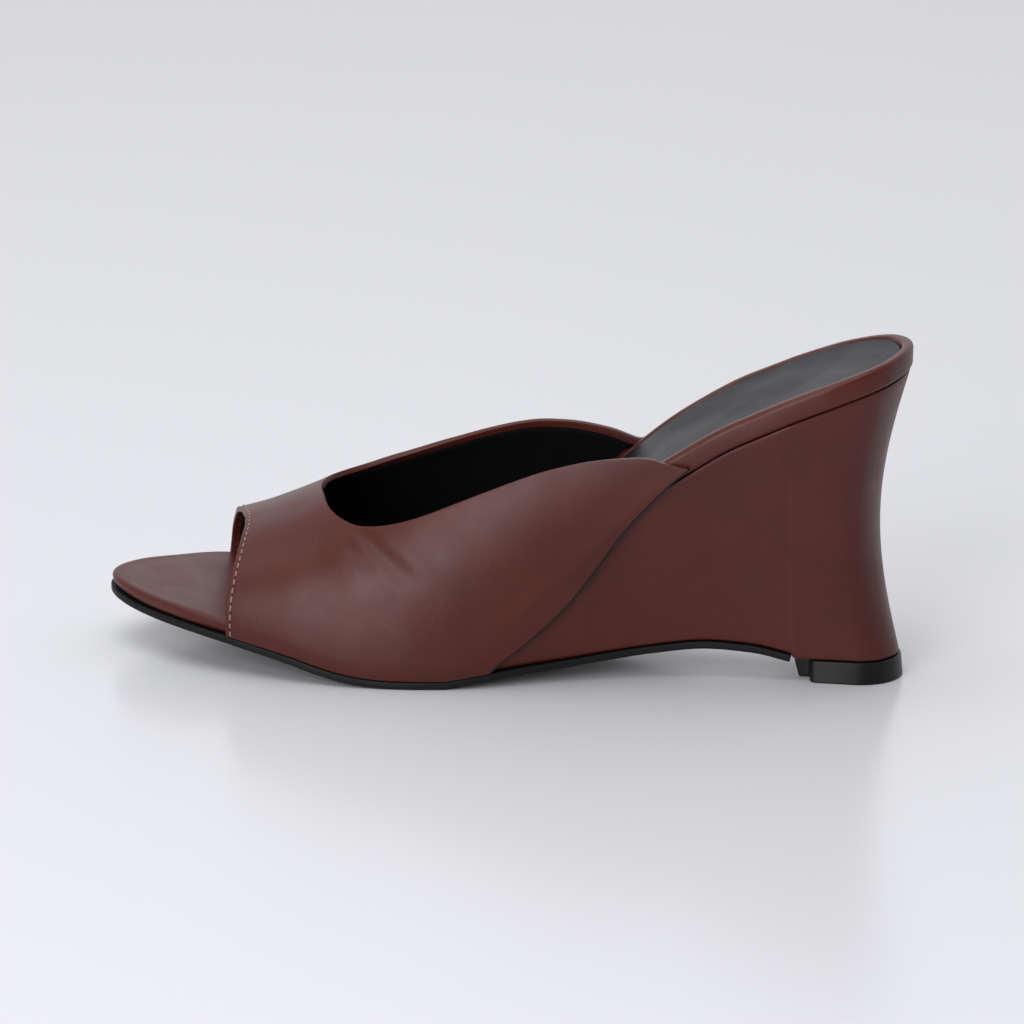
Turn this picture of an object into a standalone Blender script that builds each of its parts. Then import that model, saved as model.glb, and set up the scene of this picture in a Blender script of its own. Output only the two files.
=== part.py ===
"""Wedge mule, left shoe: a peep-toe leather vamp lasted over a wrapped footbed on a high covered wedge.

Metres, +Z up. The toe points along -X, the heel along +X, the lateral side faces -Y, the medial side +Y.
The shoe stands on Z = 0, on the flat of its tread and on its heel tip, and the origin is under its middle.
While it is built, X runs from 0 at the toe; centre() moves the whole shoe at the end.
"""

import math

import bmesh
import bpy
import numpy as np
from mathutils import Matrix, Vector

MM = 0.001

# Driving sizes of the last and the sole
SHOE_LENGTH = 226.0 * MM
BASE_LENGTH = 225.0 * MM
BALL_WIDTH = 71.3 * MM
WAIST_WIDTH = 44.9 * MM
SEAT_WIDTH = 49.6 * MM
TREAD_WIDTH = 73.8 * MM
SHANK_WIDTH = 28.0 * MM
HEEL_WIDTH = 24.2 * MM
SEAT_HEIGHT = 95.0 * MM
TOE_SPRING = 14.0 * MM
ARCH_HEIGHT = 9.0 * MM
INSTEP_HEIGHT = 46.7 * MM
INSTEP_RISE = 66.0 * MM
WAIST_TWIST = 3.6 * MM
EAR_REACH = 38.0 * MM

# Thicknesses and clearance
OUTSOLE_THICKNESS = 2.1 * MM
FOOTBED_THICKNESS = 6.3 * MM
SOCK_THICKNESS = 1.0 * MM
WALL = 1.5 * MM
TIP_HEIGHT = 6.3 * MM
GAP = 0.3 * MM

# Edges and hollows
FOOTBED_ROUND = 1.5 * MM
FOOTBED_UNDERCUT = 1.1 * MM
SOCK_MARGIN = 3.3 * MM
SOCK_SKIVE = 0.4 * MM
SEAT_DISH = 1.0 * MM
HEEL_HOLLOW = 6.8 * MM
WEDGE_REVEAL = 0.5 * MM
WEDGE_FADE = 8.0 * MM
SOLE_MARGIN = 0.5 * MM
SOLE_ROUND = 0.5 * MM
FEATHER_TUCK = 1.0 * MM
FEATHER_HEIGHT = 6.0 * MM

# Heel tip
TIP_LENGTH = 24.9 * MM
TIP_FLARE = 1.6 * MM
TONGUE_LENGTH = 5.0 * MM
TONGUE_WIDTH = 14.0 * MM
TONGUE_SLOPE = 1.6 * MM
WEDGE_STEP = 0.7 * MM
TIP_BEVEL = 0.5 * MM

# Places along the shoe, as shares of its length from the toe
TREAD_FRONT = 0.385
TREAD_BACK = 0.448
HEEL_BREAST = 0.888
SOLE_END = HEEL_BREAST - (TONGUE_LENGTH + GAP) / SHOE_LENGTH
WEDGE_START = 0.405
SOCK_START = 0.345
RECESS_START = 0.310
RECESS_END = 0.340
DISH_START = 0.100
DISH_END = 0.400
FEATHER_END = 0.700
FEATHER_FADE = 0.500
HOLLOW_START = 0.800
WEDGE_STEP_END = SOLE_END + WEDGE_STEP / SHOE_LENGTH

# Shape of the curves: bow of the wedge's sides, fullness of the instep across and up
SIDE_BOW = 1.2
ARCH_ACROSS = 0.92
ARCH_UP = 0.96

# Fineness of the facets: steps between the named stations, columns across and levels up a side
OUTSOLE_STEPS = (14, 2, 15)
OUTSOLE_COLUMNS = 5
FOOTBED_STEPS = (15, 12, 13)
FOOTBED_COLUMNS = 6
SOCK_STEPS = (11, 12)
SOCK_COLUMNS = 6
WEDGE_STEPS = (3, 16, 2, 1, 11)
WEDGE_COLUMNS = 5
WEDGE_LEVELS = 9
TIP_ARC_STEPS = 14
SIDE_POINTS = 24
ARCH_POINTS = 48
RIDGE_COLUMNS = 7
TOPLINE_COLUMNS = 30
VAMP_ROWS = 13
BOW_FADE = 3
SHARP_ANGLE = math.radians(50)

# Outline of the footbed: share along, the width it follows, its shares on the lateral and the medial side
FOOTBED_OUTLINE = (
    (0.000, BALL_WIDTH, 0.035, -0.035),
    (0.012, BALL_WIDTH, 0.147, 0.087),
    (0.025, BALL_WIDTH, 0.197, 0.145),
    (0.060, BALL_WIDTH, 0.291, 0.245),
    (0.090, BALL_WIDTH, 0.354, 0.320),
    (0.120, BALL_WIDTH, 0.403, 0.372),
    (0.175, BALL_WIDTH, 0.459, 0.419),
    (0.220, BALL_WIDTH, 0.491, 0.439),
    (0.280, BALL_WIDTH, 0.523, 0.460),
    (0.340, BALL_WIDTH, 0.539, 0.461),
    (0.400, BALL_WIDTH, 0.532, 0.442),
    (0.450, BALL_WIDTH, 0.512, 0.410),
    (0.500, BALL_WIDTH, 0.481, 0.365),
    (0.550, BALL_WIDTH, 0.446, 0.323),
    (0.600, WAIST_WIDTH, 0.655, 0.454),
    (0.650, WAIST_WIDTH, 0.615, 0.414),
    (0.700, WAIST_WIDTH, 0.592, 0.399),
    (0.750, WAIST_WIDTH, 0.584, 0.416),
    (0.800, SEAT_WIDTH, 0.532, 0.419),
    (0.850, SEAT_WIDTH, 0.544, 0.456),
    (0.900, SEAT_WIDTH, 0.536, 0.452),
    (0.940, SEAT_WIDTH, 0.496, 0.407),
    (0.970, SEAT_WIDTH, 0.411, 0.315),
    (0.990, SEAT_WIDTH, 0.266, 0.169),
    (1.000, SEAT_WIDTH, 0.044, -0.044),
)

# Outline of the outsole and of the wedge's foot, in the same columns; its shares along are of BASE_LENGTH
BASE_OUTLINE = (
    (0.000, TREAD_WIDTH, 0.034, -0.034),
    (0.012, TREAD_WIDTH, 0.142, 0.083),
    (0.025, TREAD_WIDTH, 0.191, 0.138),
    (0.060, TREAD_WIDTH, 0.277, 0.228),
    (0.090, TREAD_WIDTH, 0.338, 0.305),
    (0.120, TREAD_WIDTH, 0.386, 0.356),
    (0.175, TREAD_WIDTH, 0.448, 0.409),
    (0.220, TREAD_WIDTH, 0.486, 0.436),
    (0.280, TREAD_WIDTH, 0.520, 0.460),
    (0.340, TREAD_WIDTH, 0.536, 0.461),
    (0.400, TREAD_WIDTH, 0.529, 0.442),
    (0.450, TREAD_WIDTH, 0.507, 0.408),
    (0.500, TREAD_WIDTH, 0.468, 0.352),
    (0.550, TREAD_WIDTH, 0.408, 0.288),
    (0.600, SHANK_WIDTH, 0.921, 0.621),
    (0.650, SHANK_WIDTH, 0.786, 0.511),
    (0.700, SHANK_WIDTH, 0.682, 0.432),
    (0.750, SHANK_WIDTH, 0.618, 0.382),
    (0.800, HEEL_WIDTH, 0.669, 0.409),
    (0.850, HEEL_WIDTH, 0.636, 0.397),
    (0.900, HEEL_WIDTH, 0.616, 0.393),
    (0.950, HEEL_WIDTH, 0.608, 0.384),
    (0.966, HEEL_WIDTH, 0.578, 0.355),
    (0.980, HEEL_WIDTH, 0.500, 0.277),
    (0.992, HEEL_WIDTH, 0.368, 0.145),
    (1.000, HEEL_WIDTH, 0.112, -0.112),
)

# Height of the outsole's underside: share along, the height it follows, share of that height
SOLE_LINE = (
    (0.000, TOE_SPRING, 1.000),
    (0.020, TOE_SPRING, 0.950),
    (0.055, TOE_SPRING, 0.864),
    (0.114, TOE_SPRING, 0.771),
    (0.169, TOE_SPRING, 0.650),
    (0.210, TOE_SPRING, 0.536),
    (0.260, TOE_SPRING, 0.364),
    (0.300, TOE_SPRING, 0.190),
    (0.340, TOE_SPRING, 0.060),
    (TREAD_FRONT, TOE_SPRING, 0.000),
    (TREAD_BACK, ARCH_HEIGHT, 0.000),
    (0.472, ARCH_HEIGHT, 0.085),
    (0.520, ARCH_HEIGHT, 0.280),
    (0.600, ARCH_HEIGHT, 0.510),
    (0.696, ARCH_HEIGHT, 0.840),
    (0.762, ARCH_HEIGHT, 1.000),
    (0.818, ARCH_HEIGHT, 0.900),
    (SOLE_END, ARCH_HEIGHT, 0.640),
)

# Rise of the footbed's edge above its height at the tread: share along, share of the whole rise
SEAT_LINE = (
    (0.000, 0.000),
    (0.360, 0.000),
    (0.420, 0.035),
    (0.460, 0.087),
    (0.500, 0.164),
    (0.540, 0.257),
    (0.580, 0.359),
    (0.620, 0.462),
    (0.660, 0.561),
    (0.700, 0.648),
    (0.740, 0.718),
    (0.780, 0.780),
    (0.820, 0.828),
    (0.860, 0.874),
    (0.900, 0.915),
    (0.950, 0.960),
    (1.000, 1.000),
)

# Share along, then shares of FOOTBED_THICKNESS and of WAIST_TWIST
FOOTBED_BUILD = (
    (0.000, 0.50, 0.00),
    (0.060, 0.62, 0.00),
    (0.200, 0.66, 0.00),
    (0.400, 0.80, 0.00),
    (0.550, 0.95, 0.60),
    (0.650, 1.00, 1.00),
    (0.730, 1.00, 1.00),
    (0.780, 1.00, 0.80),
    (0.840, 1.00, 0.42),
    (0.900, 1.00, 0.22),
    (0.950, 1.00, 0.05),
    (1.000, 1.00, 0.00),
)

# Ridge of the instep: share along, share of INSTEP_HEIGHT, share of INSTEP_RISE added behind the throat,
# and the ridge's place across, as a share of BALL_WIDTH towards the medial side
INSTEP_RIDGE = (
    (0.150, 0.772, 0.000, 0.010),
    (0.168, 0.799, 0.000, 0.014),
    (0.190, 0.833, 0.000, 0.018),
    (0.215, 0.882, 0.000, 0.022),
    (0.241, 0.936, 0.000, 0.026),
    (0.269, 1.000, 0.000, 0.030),
    (0.300, 1.000, 0.060, 0.034),
    (0.340, 1.000, 0.155, 0.040),
    (0.400, 1.000, 0.300, 0.048),
    (0.460, 1.000, 0.440, 0.052),
    (0.520, 1.000, 0.575, 0.054),
    (0.600, 1.000, 0.740, 0.050),
    (0.680, 1.000, 0.880, 0.044),
    (0.760, 1.000, 1.000, 0.040),
)

# Toe opening, from the sole edge to the ridge: share of the way up the wall, shares along on the lateral and
# the medial side
TOE_OPENING = (
    (0.00, 0.178, 0.119),
    (0.25, 0.180, 0.125),
    (0.50, 0.184, 0.137),
    (0.70, 0.183, 0.148),
    (0.85, 0.177, 0.157),
    (1.00, 0.166, 0.166),
)

# Topline, from the throat to the tip of the ear: share along, and share of the way round from the seat edge
# (0) to the ridge (1), for the lateral and the medial side
TOPLINE_LATERAL = (
    (0.269, 1.00),
    (0.279, 0.84),
    (0.288, 0.74),
    (0.311, 0.60),
    (0.343, 0.50),
    (0.394, 0.44),
    (0.468, 0.395),
    (0.541, 0.33),
    (0.600, 0.25),
    (0.662, 0.13),
    (0.710, 0.01),
    (0.745, -0.16),
)
TOPLINE_MEDIAL = (
    (0.269, 1.00),
    (0.276, 0.84),
    (0.292, 0.765),
    (0.315, 0.695),
    (0.355, 0.620),
    (0.415, 0.545),
    (0.465, 0.487),
    (0.517, 0.407),
    (0.568, 0.290),
    (0.619, 0.137),
    (0.657, 0.00),
    (0.712, -0.16),
)

# Seam where the vamp ends on the wedge: share of the way up from the sole to the ear's tip, share along
SIDE_SEAM = (
    (0.00, 0.508),
    (0.05, 0.520),
    (0.11, 0.541),
    (0.28, 0.590),
    (0.40, 0.616),
    (0.55, 0.643),
    (0.69, 0.668),
    (0.82, 0.697),
    (0.92, 0.722),
    (1.00, 0.745),
)


def smooth_curve(places, values):
    """A function through the points that never overshoots them: a monotone cubic."""
    places = np.asarray(places, float)
    values = np.asarray(values, float)
    steps = np.diff(places)
    slopes = np.diff(values) / steps
    tangents = np.zeros(len(places))
    for i in range(1, len(places) - 1):
        if slopes[i - 1] * slopes[i] > 0:
            before = 2 * steps[i] + steps[i - 1]
            after = steps[i] + 2 * steps[i - 1]
            tangents[i] = (before + after) / (before / slopes[i - 1] + after / slopes[i])
    tangents[0] = slopes[0]
    tangents[-1] = slopes[-1]

    def curve(at):
        at = min(max(float(at), places[0]), places[-1])
        i = min(int(np.searchsorted(places, at, side="right")) - 1, len(steps) - 1)
        share = (at - places[i]) / steps[i]
        left = (1 + 2 * share) * (1 - share) ** 2 * values[i] + share**2 * (3 - 2 * share) * values[i + 1]
        bend = share * (1 - share) ** 2 * tangents[i] - share**2 * (1 - share) * tangents[i + 1]
        return left + bend * steps[i]

    return curve


def turn(along):
    """Share of the half turn that a round-ended outline has made; drawn over it, the ends come out round."""
    return math.acos(min(max(1 - 2 * along, -1), 1)) / math.pi


def outline_curves(rows):
    """The lateral and the medial edge of an outline table, as functions of turn()."""
    places = [turn(row[0]) for row in rows]
    lateral = smooth_curve(places, [-row[1] * row[2] for row in rows])
    medial = smooth_curve(places, [row[1] * row[3] for row in rows])
    return lateral, medial


def column(rows, index, scale=1.0):
    """One column of a table as a function of the share along."""
    return smooth_curve([row[0] for row in rows], [row[index] * scale for row in rows])


FOOTBED_EDGE = outline_curves(FOOTBED_OUTLINE)
BASE_EDGE = outline_curves(BASE_OUTLINE)
sole_line = smooth_curve([row[0] for row in SOLE_LINE], [row[1] * row[2] for row in SOLE_LINE])
spring_line = smooth_curve(
    [row[0] for row in SOLE_LINE],
    [row[1] * row[2] if row[0] < TREAD_BACK else 0.0 for row in SOLE_LINE],
)
seat_rise = column(SEAT_LINE, 1)
footbed_build = column(FOOTBED_BUILD, 1, FOOTBED_THICKNESS)
waist_twist = column(FOOTBED_BUILD, 2, WAIST_TWIST)
ridge_height = smooth_curve(
    [row[0] for row in INSTEP_RIDGE],
    [row[1] * INSTEP_HEIGHT + row[2] * INSTEP_RISE for row in INSTEP_RIDGE],
)
ridge_side = column(INSTEP_RIDGE, 3, BALL_WIDTH)

STACK = OUTSOLE_THICKNESS + GAP
HEEL_FLOOR = TIP_HEIGHT + GAP
SEAT_RISE = SEAT_HEIGHT - STACK - FOOTBED_THICKNESS


def ease(at, start, end):
    """0 up to start, 1 from end on, and a smooth step between them."""
    share = min(max((at - start) / (end - start), 0.0), 1.0)
    return share * share * (3 - 2 * share)


def along_of(x):
    return min(max(x / SHOE_LENGTH, 0.0), 1.0)


def outsole_underside(x, y=0.0):
    return sole_line(along_of(x))


def outsole_top(x, y=0.0):
    return outsole_underside(x) + OUTSOLE_THICKNESS


def wedge_underside(x, y=0.0):
    """The wedge stands on the outsole, and behind the outsole's end on the heel tip."""
    behind = ease(along_of(x), SOLE_END, WEDGE_STEP_END)
    return (1 - behind) * (outsole_top(x) + GAP) + behind * HEEL_FLOOR


def seat_line(along):
    """Height of the footbed's edge, midway between its two sides."""
    return spring_line(along) + STACK + footbed_build(along) + SEAT_RISE * seat_rise(along)


def across_share(x, y):
    """Place across the footbed: -1 at its lateral edge, +1 at its medial edge."""
    lateral, medial = (edge(turn(along_of(x))) for edge in FOOTBED_EDGE)
    return min(max((2 * y - lateral - medial) / max(medial - lateral, MM), -1.0), 1.0)


def seat_height(x, y):
    """Height of the footbed's edge plane, with the twist that lifts the medial side of the waist."""
    return seat_line(along_of(x)) + 0.5 * waist_twist(along_of(x)) * across_share(x, y)


def upright(along):
    """How much longer a plate's thickness is along Z than square to the plate, from its slope."""
    step = 0.004
    low = max(along - step, 0.0)
    high = min(along + step, 1.0)
    slope = (seat_line(high) - seat_line(low)) / ((high - low) * SHOE_LENGTH)
    return math.hypot(1.0, slope)


def footbed_underside(x, y):
    return seat_height(x, y) - footbed_build(along_of(x)) * upright(along_of(x))


def footbed_floor(x, y):
    """Height of the footbed's top inside its edge: dished, and sunk where the sock is glued in."""
    along = along_of(x)
    dish = SEAT_DISH * (1 - across_share(x, y) ** 2) * ease(along, DISH_START, DISH_END)
    recess = (SOCK_THICKNESS + GAP) * ease(along, RECESS_START, RECESS_END)
    return seat_height(x, y) - dish - recess * upright(along)


def outline_point(edges, length, along, side, inset):
    """A point of a round-ended outline, moved in by inset square to the outline."""
    edge = edges[0] if side < 0 else edges[1]
    at = turn(along)
    step = 0.002
    low = max(at - step, 0.0)
    high = min(at + step, 1.0)
    run = length * 0.5 * (math.cos(math.pi * low) - math.cos(math.pi * high))
    rise = edge(high) - edge(low)
    if at <= step or at >= 1 - step:
        run = 0.0
    size = math.hypot(run, rise)
    x = length * along + side * rise / size * inset
    y = edge(at) - side * run / size * inset
    return x, y


def footbed_point(along, side, inset=0.0):
    return outline_point(FOOTBED_EDGE, SHOE_LENGTH, along, side, inset)


def base_point(along, side, inset=0.0):
    """A point of the sole's outline under a footbed station; the heel end is drawn in to the shorter base."""
    share = BASE_LENGTH / SHOE_LENGTH
    drawn = along - (1 - share) * ease(along, HOLLOW_START, 1.0)
    return outline_point(BASE_EDGE, BASE_LENGTH, min(drawn / share, 1.0), side, inset)


def feather(along, height):
    """How far the lasted edge is drawn in under the shoe, at a height over the sole."""
    over = max(height - wedge_underside(along * SHOE_LENGTH), 0.0)
    return FEATHER_TUCK * max(0.0, 1 - over / FEATHER_HEIGHT) ** 2


def slant(along, side):
    """How much longer a wall is across the shoe than square to the outline."""
    step = 0.01
    edge = FOOTBED_EDGE[0 if side < 0 else 1]
    rise = edge(turn(along + step)) - edge(turn(along - step))
    return math.hypot(1.0, rise / (2 * step * SHOE_LENGTH))


def body_half(along, height, side):
    """Distance of the lasted body's side from the middle plane at a height, over the sole or the footbed."""
    foot = wedge_underside(along * SHOE_LENGTH)
    edge = footbed_point(along, side)[1]
    top = footbed_underside(along * SHOE_LENGTH, edge)
    wide = abs(edge)
    narrow = min(abs(base_point(along, side)[1]) - SOLE_MARGIN, wide)
    narrow = wide + (narrow - wide) * ease(top - foot, 0.0, WEDGE_FADE)
    share = min(max((height - foot) / max(top - foot, MM), 0.0), 1.0)
    half = narrow + (wide - narrow) * share**SIDE_BOW
    return half - feather(along, height) * (1 - ease(along, FEATHER_FADE, FEATHER_END))


def wedge_side(along, side, share):
    """A point of the wedge's side, a share of the way up from its foot to the footbed."""
    top_x, top_y = footbed_point(along, side, WEDGE_REVEAL)
    foot_x, foot_y = base_point(along, side, SOLE_MARGIN)
    foot_z = wedge_underside(foot_x)
    top_z = footbed_underside(top_x, top_y) - GAP
    z = foot_z + (top_z - foot_z) * share
    hollow = HEEL_HOLLOW * ease(along, HOLLOW_START, 2 - HOLLOW_START) * 2
    x = foot_x + (top_x - foot_x) * share - hollow * math.sin(math.pi * share)
    y = foot_y + (top_y - foot_y) * share**SIDE_BOW
    if along < HOLLOW_START:
        y = side * (body_half(along, z, side) - WEDGE_REVEAL * share)
    return x, y, z


def stations(stops, steps, round_first, round_last):
    """Shares along through the named stops, so many steps between them; they shorten at a round end."""
    shares = [stops[0]]
    for low, high, count in zip(stops, stops[1:], steps):
        for k in range(1, count + 1):
            at = k / count
            if round_first and low == stops[0]:
                at = 1 - math.cos(0.5 * math.pi * at)
            if round_last and high == stops[-1]:
                at = math.sin(0.5 * math.pi * at)
            shares.append(low + (high - low) * at)
    return shares


def ring_of(edges, columns, bottom, top):
    """One station's ring: underside from lateral to medial, medial edge, top, lateral edge."""
    ring = []
    for surface, level, first, second in ((bottom, 0, -1, 1), (top, -1, 1, -1)):
        start = edges[first][level]
        end = edges[second][level]
        for k in range(1, columns):
            x = start[0] + (end[0] - start[0]) * k / columns
            y = start[1] + (end[1] - start[1]) * k / columns
            ring.append((x, y, surface(x, y)))
        ring.extend(edges[second] if second > 0 else reversed(edges[second]))
    return ring


def slab_ring(point, along, profile, columns, bottom, top):
    """One station of an even plate; profile lists (inset, share of the height) from underside to top."""
    edges = {}
    for side in (-1, 1):
        edges[side] = []
        for inset, share in profile:
            x, y = point(along, side, inset)
            low = bottom(x, y)
            edges[side].append((x, y, low + (top(x, y) - low) * share))
    return ring_of(edges, columns, bottom, top)


def loft(builder, rings, cap_first, cap_last):
    """Joins closed rings of as many points into one skin; a round end closes on itself."""
    rows = [[builder.verts.new(point) for point in ring] for ring in rings]
    count = len(rows[0])
    for first, second in zip(rows, rows[1:]):
        for i in range(count):
            j = (i + 1) % count
            builder.faces.new((first[i], first[j], second[j], second[i]))
    if cap_first:
        builder.faces.new(list(reversed(rows[0])))
    if cap_last:
        builder.faces.new(rows[-1])
    bmesh.ops.remove_doubles(builder, verts=builder.verts, dist=0.004 * MM)
    bmesh.ops.recalc_face_normals(builder, faces=builder.faces)


def build_outsole(builder):
    """A thin sheet sole from the toe to the heel tip; its tread is flat between its two named places."""
    profile = ((SOLE_ROUND, 0.0), (0.0, 0.3), (0.0, 1.0))
    rings = []
    for along in stations((0.0, TREAD_FRONT, TREAD_BACK, SOLE_END), OUTSOLE_STEPS, True, False):
        rings.append(slab_ring(base_point, along, profile, OUTSOLE_COLUMNS, outsole_underside, outsole_top))
    loft(builder, rings, False, True)


def build_footbed(builder):
    """The wrapped insole board: a rand with a rounded top edge, and inside it the floor for the sock."""
    rings = []
    for along in stations((0.0, SOCK_START, HOLLOW_START, 1.0), FOOTBED_STEPS, True, True):
        build = footbed_build(along)
        profile = (
            (FOOTBED_UNDERCUT, 0.0),
            (FOOTBED_UNDERCUT * 0.3, 0.3 * FOOTBED_UNDERCUT / build),
            (0.0, FOOTBED_UNDERCUT / build),
            (0.0, 1 - FOOTBED_ROUND / build),
            (FOOTBED_ROUND * 0.3, 1 - FOOTBED_ROUND * 0.3 / build),
            (FOOTBED_ROUND, 1.0),
            (SOCK_MARGIN - GAP, 1.0),
        )
        edges = {}
        for side in (-1, 1):
            edges[side] = []
            for inset, share in profile:
                x, y = footbed_point(along, side, inset)
                low = footbed_underside(x, y)
                z = low + (seat_height(x, y) - low) * share
                x, y = footbed_point(along, side, inset + feather(along, z))
                edges[side].append((x, y, z))
            x, y = footbed_point(along, side, SOCK_MARGIN)
            edges[side].append((x, y, footbed_floor(x, y)))
        rings.append(ring_of(edges, FOOTBED_COLUMNS, footbed_underside, footbed_floor))
    loft(builder, rings, False, False)


def build_sock(builder):
    """The thin sock in the footbed's recess, from the heel to under the vamp."""

    def point(along, side, inset):
        return footbed_point(along, side, SOCK_MARGIN + GAP + inset)

    def bottom(x, y):
        return footbed_floor(x, y) + GAP * upright(along_of(x))

    def top(x, y):
        return bottom(x, y) + SOCK_THICKNESS * upright(along_of(x))

    profile = ((0.0, 0.0), (0.0, 1 - SOCK_SKIVE / SOCK_THICKNESS), (SOCK_SKIVE, 1.0))
    rings = []
    for along in stations((SOCK_START, HOLLOW_START, 1.0), SOCK_STEPS, False, True):
        rings.append(slab_ring(point, along, profile, SOCK_COLUMNS, bottom, top))
    loft(builder, rings, True, False)


def build_wedge(builder):
    """The covered wedge, with concave sides and a hollow back; it carries the footbed from ball to heel."""

    def top(x, y):
        return footbed_underside(x, y) - GAP

    stops = (WEDGE_START, TREAD_BACK, HOLLOW_START, SOLE_END, WEDGE_STEP_END, 1.0)
    rings = []
    for along in stations(stops, WEDGE_STEPS, False, True):
        edges = {}
        for side in (-1, 1):
            edges[side] = [wedge_side(along, side, level / WEDGE_LEVELS) for level in range(WEDGE_LEVELS + 1)]
        rings.append(ring_of(edges, WEDGE_COLUMNS, wedge_underside, top))
    loft(builder, rings, True, False)


def build_heel_tip(builder):
    """A moulded top piece with a narrower tongue in front, wider at the floor than at the heel."""
    front = HEEL_BREAST * SHOE_LENGTH
    middle = sum(edge(turn(HEEL_BREAST)) for edge in BASE_EDGE) / 2

    def outline(flare, slope):
        half = 0.5 * HEEL_WIDTH - TIP_FLARE + flare
        tongue = 0.5 * TONGUE_WIDTH
        tongue_front = front - TONGUE_LENGTH + slope
        points = [(tongue_front, -tongue), (front, -tongue), (front, -half)]
        for k in range(TIP_ARC_STEPS + 1):
            angle = math.pi * (k / TIP_ARC_STEPS - 0.5)
            arc_x = front + TIP_LENGTH - 0.5 * HEEL_WIDTH + half * math.cos(angle)
            points.append((arc_x, half * math.sin(angle)))
        points += [(front, half), (front, tongue), (tongue_front, tongue)]
        return [(x, middle + y) for x, y in points]

    low = [(x, y, 0.0) for x, y in outline(TIP_FLARE, TONGUE_SLOPE)]
    high = [(x, y, TIP_HEIGHT) for x, y in outline(0.6 * TIP_FLARE, 0.0)]
    loft(builder, [low, high], True, True)


def section(along, side):
    """The vamp's outer skin in one upright section: points from the sole edge up to the instep's ridge."""
    x = along * SHOE_LENGTH
    edge = footbed_point(along, side)[1]
    foot = wedge_underside(x)
    seat = seat_height(x, edge)
    offset = (GAP + WALL) * slant(along, side)
    points = []
    for i in range(SIDE_POINTS + 1):
        z = foot + (seat - foot) * i / SIDE_POINTS
        points.append((x, side * (body_half(along, z, side) + offset), z))
    start_y = points[-1][1]
    ridge_y = ridge_side(along)
    ridge_z = ridge_height(along)
    for i in range(1, ARCH_POINTS + 1):
        angle = 0.5 * math.pi * i / ARCH_POINTS
        y = ridge_y + (start_y - ridge_y) * max(math.cos(angle), 0.0) ** ARCH_ACROSS
        z = seat + (ridge_z - seat) * math.sin(angle) ** ARCH_UP
        points.append((x, y, z))
    return np.array(points)


def running_length(points):
    steps = np.linalg.norm(np.diff(points, axis=0), axis=1)
    return np.concatenate(([0.0], np.cumsum(steps)))


def round_length(along, side, share):
    """Length up the section to a share of the way round from the seat edge; a share below 0 lies under it."""
    lengths = running_length(section(along, side))
    if share < 0:
        return float(lengths[SIDE_POINTS] + share * EAR_REACH)
    return float(np.interp(SIDE_POINTS + ARCH_POINTS * share, np.arange(len(lengths)), lengths))


def skin_point(along, side, length):
    """The point of the vamp's outer skin at a length up the section."""
    points = section(along, side)
    lengths = running_length(points)
    return tuple(float(np.interp(length, lengths, points[:, k])) for k in range(3))


def evenly(points, count):
    """The same line of (share along, length up) with evenly spaced points."""
    points = np.asarray(points, float)
    lengths = running_length(points * np.array([SHOE_LENGTH, 1.0]))
    wanted = np.linspace(0.0, lengths[-1], count + 1)
    return np.stack([np.interp(wanted, lengths, points[:, k]) for k in range(2)], axis=1)


def vamp_borders(side):
    """The vamp half's four borders in (share along, length up): sole edge, top, toe opening and seam."""
    topline = TOPLINE_LATERAL if side < 0 else TOPLINE_MEDIAL
    opening = column(TOE_OPENING, 1 if side < 0 else 2)
    throat = topline[0][0]
    ear = topline[-1][0]
    ridge = []
    for along in np.linspace(opening(1.0), throat, RIDGE_COLUMNS + 1):
        ridge.append((along, round_length(along, side, 1.0)))
    slowed = [math.sqrt((row[0] - throat) / (ear - throat)) for row in topline]
    way_round = smooth_curve(slowed, [row[1] for row in topline])
    edge = []
    for at in np.linspace(0.0, 1.0, 121):
        along = throat + (ear - throat) * at**2
        edge.append((along, round_length(along, side, way_round(at))))
    top = np.concatenate((ridge[:-1], evenly(edge, TOPLINE_COLUMNS)))
    up = np.linspace(0.0, 1.0, VAMP_ROWS + 1)
    seam = column(SIDE_SEAM, 1)
    lean = ear - SIDE_SEAM[-1][1]
    rear = np.array([(seam(share) + lean * share, edge[-1][1] * share) for share in up])
    front = np.array([(opening(share), round_length(opening(share), side, 1.0) * share) for share in up])
    reached = (top[:, 0] - top[0, 0]) / (top[-1, 0] - top[0, 0])
    shares = 0.5 * (reached + np.linspace(0.0, 1.0, len(top)))
    bottom = np.array([(front[0][0] + (rear[0][0] - front[0][0]) * share, 0.0) for share in shares])
    return shares, bottom, top, front, rear


def patch_point(u, v, low, high, front, rear, j):
    """A point between the sole edge and the top; the bows of the opening and the seam fade out from them."""
    front_bow = front[j] - (1 - v) * front[0] - v * front[-1]
    rear_bow = rear[j] - (1 - v) * rear[0] - v * rear[-1]
    return (1 - v) * low + v * high + (1 - u) ** BOW_FADE * front_bow + u**BOW_FADE * rear_bow


def build_upper(builder):
    """The vamp's outer skin, each half a patch between its four borders; the wall is added by a modifier."""
    for side in (-1, 1):
        shares, bottom, top, front, rear = vamp_borders(side)
        grid = []
        for k, u in enumerate(shares):
            line = []
            for j in range(VAMP_ROWS + 1):
                v = j / VAMP_ROWS
                along, length = patch_point(u, v, bottom[k], top[k], front, rear, j)
                line.append(builder.verts.new(skin_point(along, side, length)))
            grid.append(line)
        for first, second in zip(grid, grid[1:]):
            for j in range(VAMP_ROWS):
                face = (first[j], second[j], second[j + 1], first[j + 1])
                builder.faces.new(face if side < 0 else tuple(reversed(face)))
    bmesh.ops.remove_doubles(builder, verts=builder.verts, dist=0.02 * MM)


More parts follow.
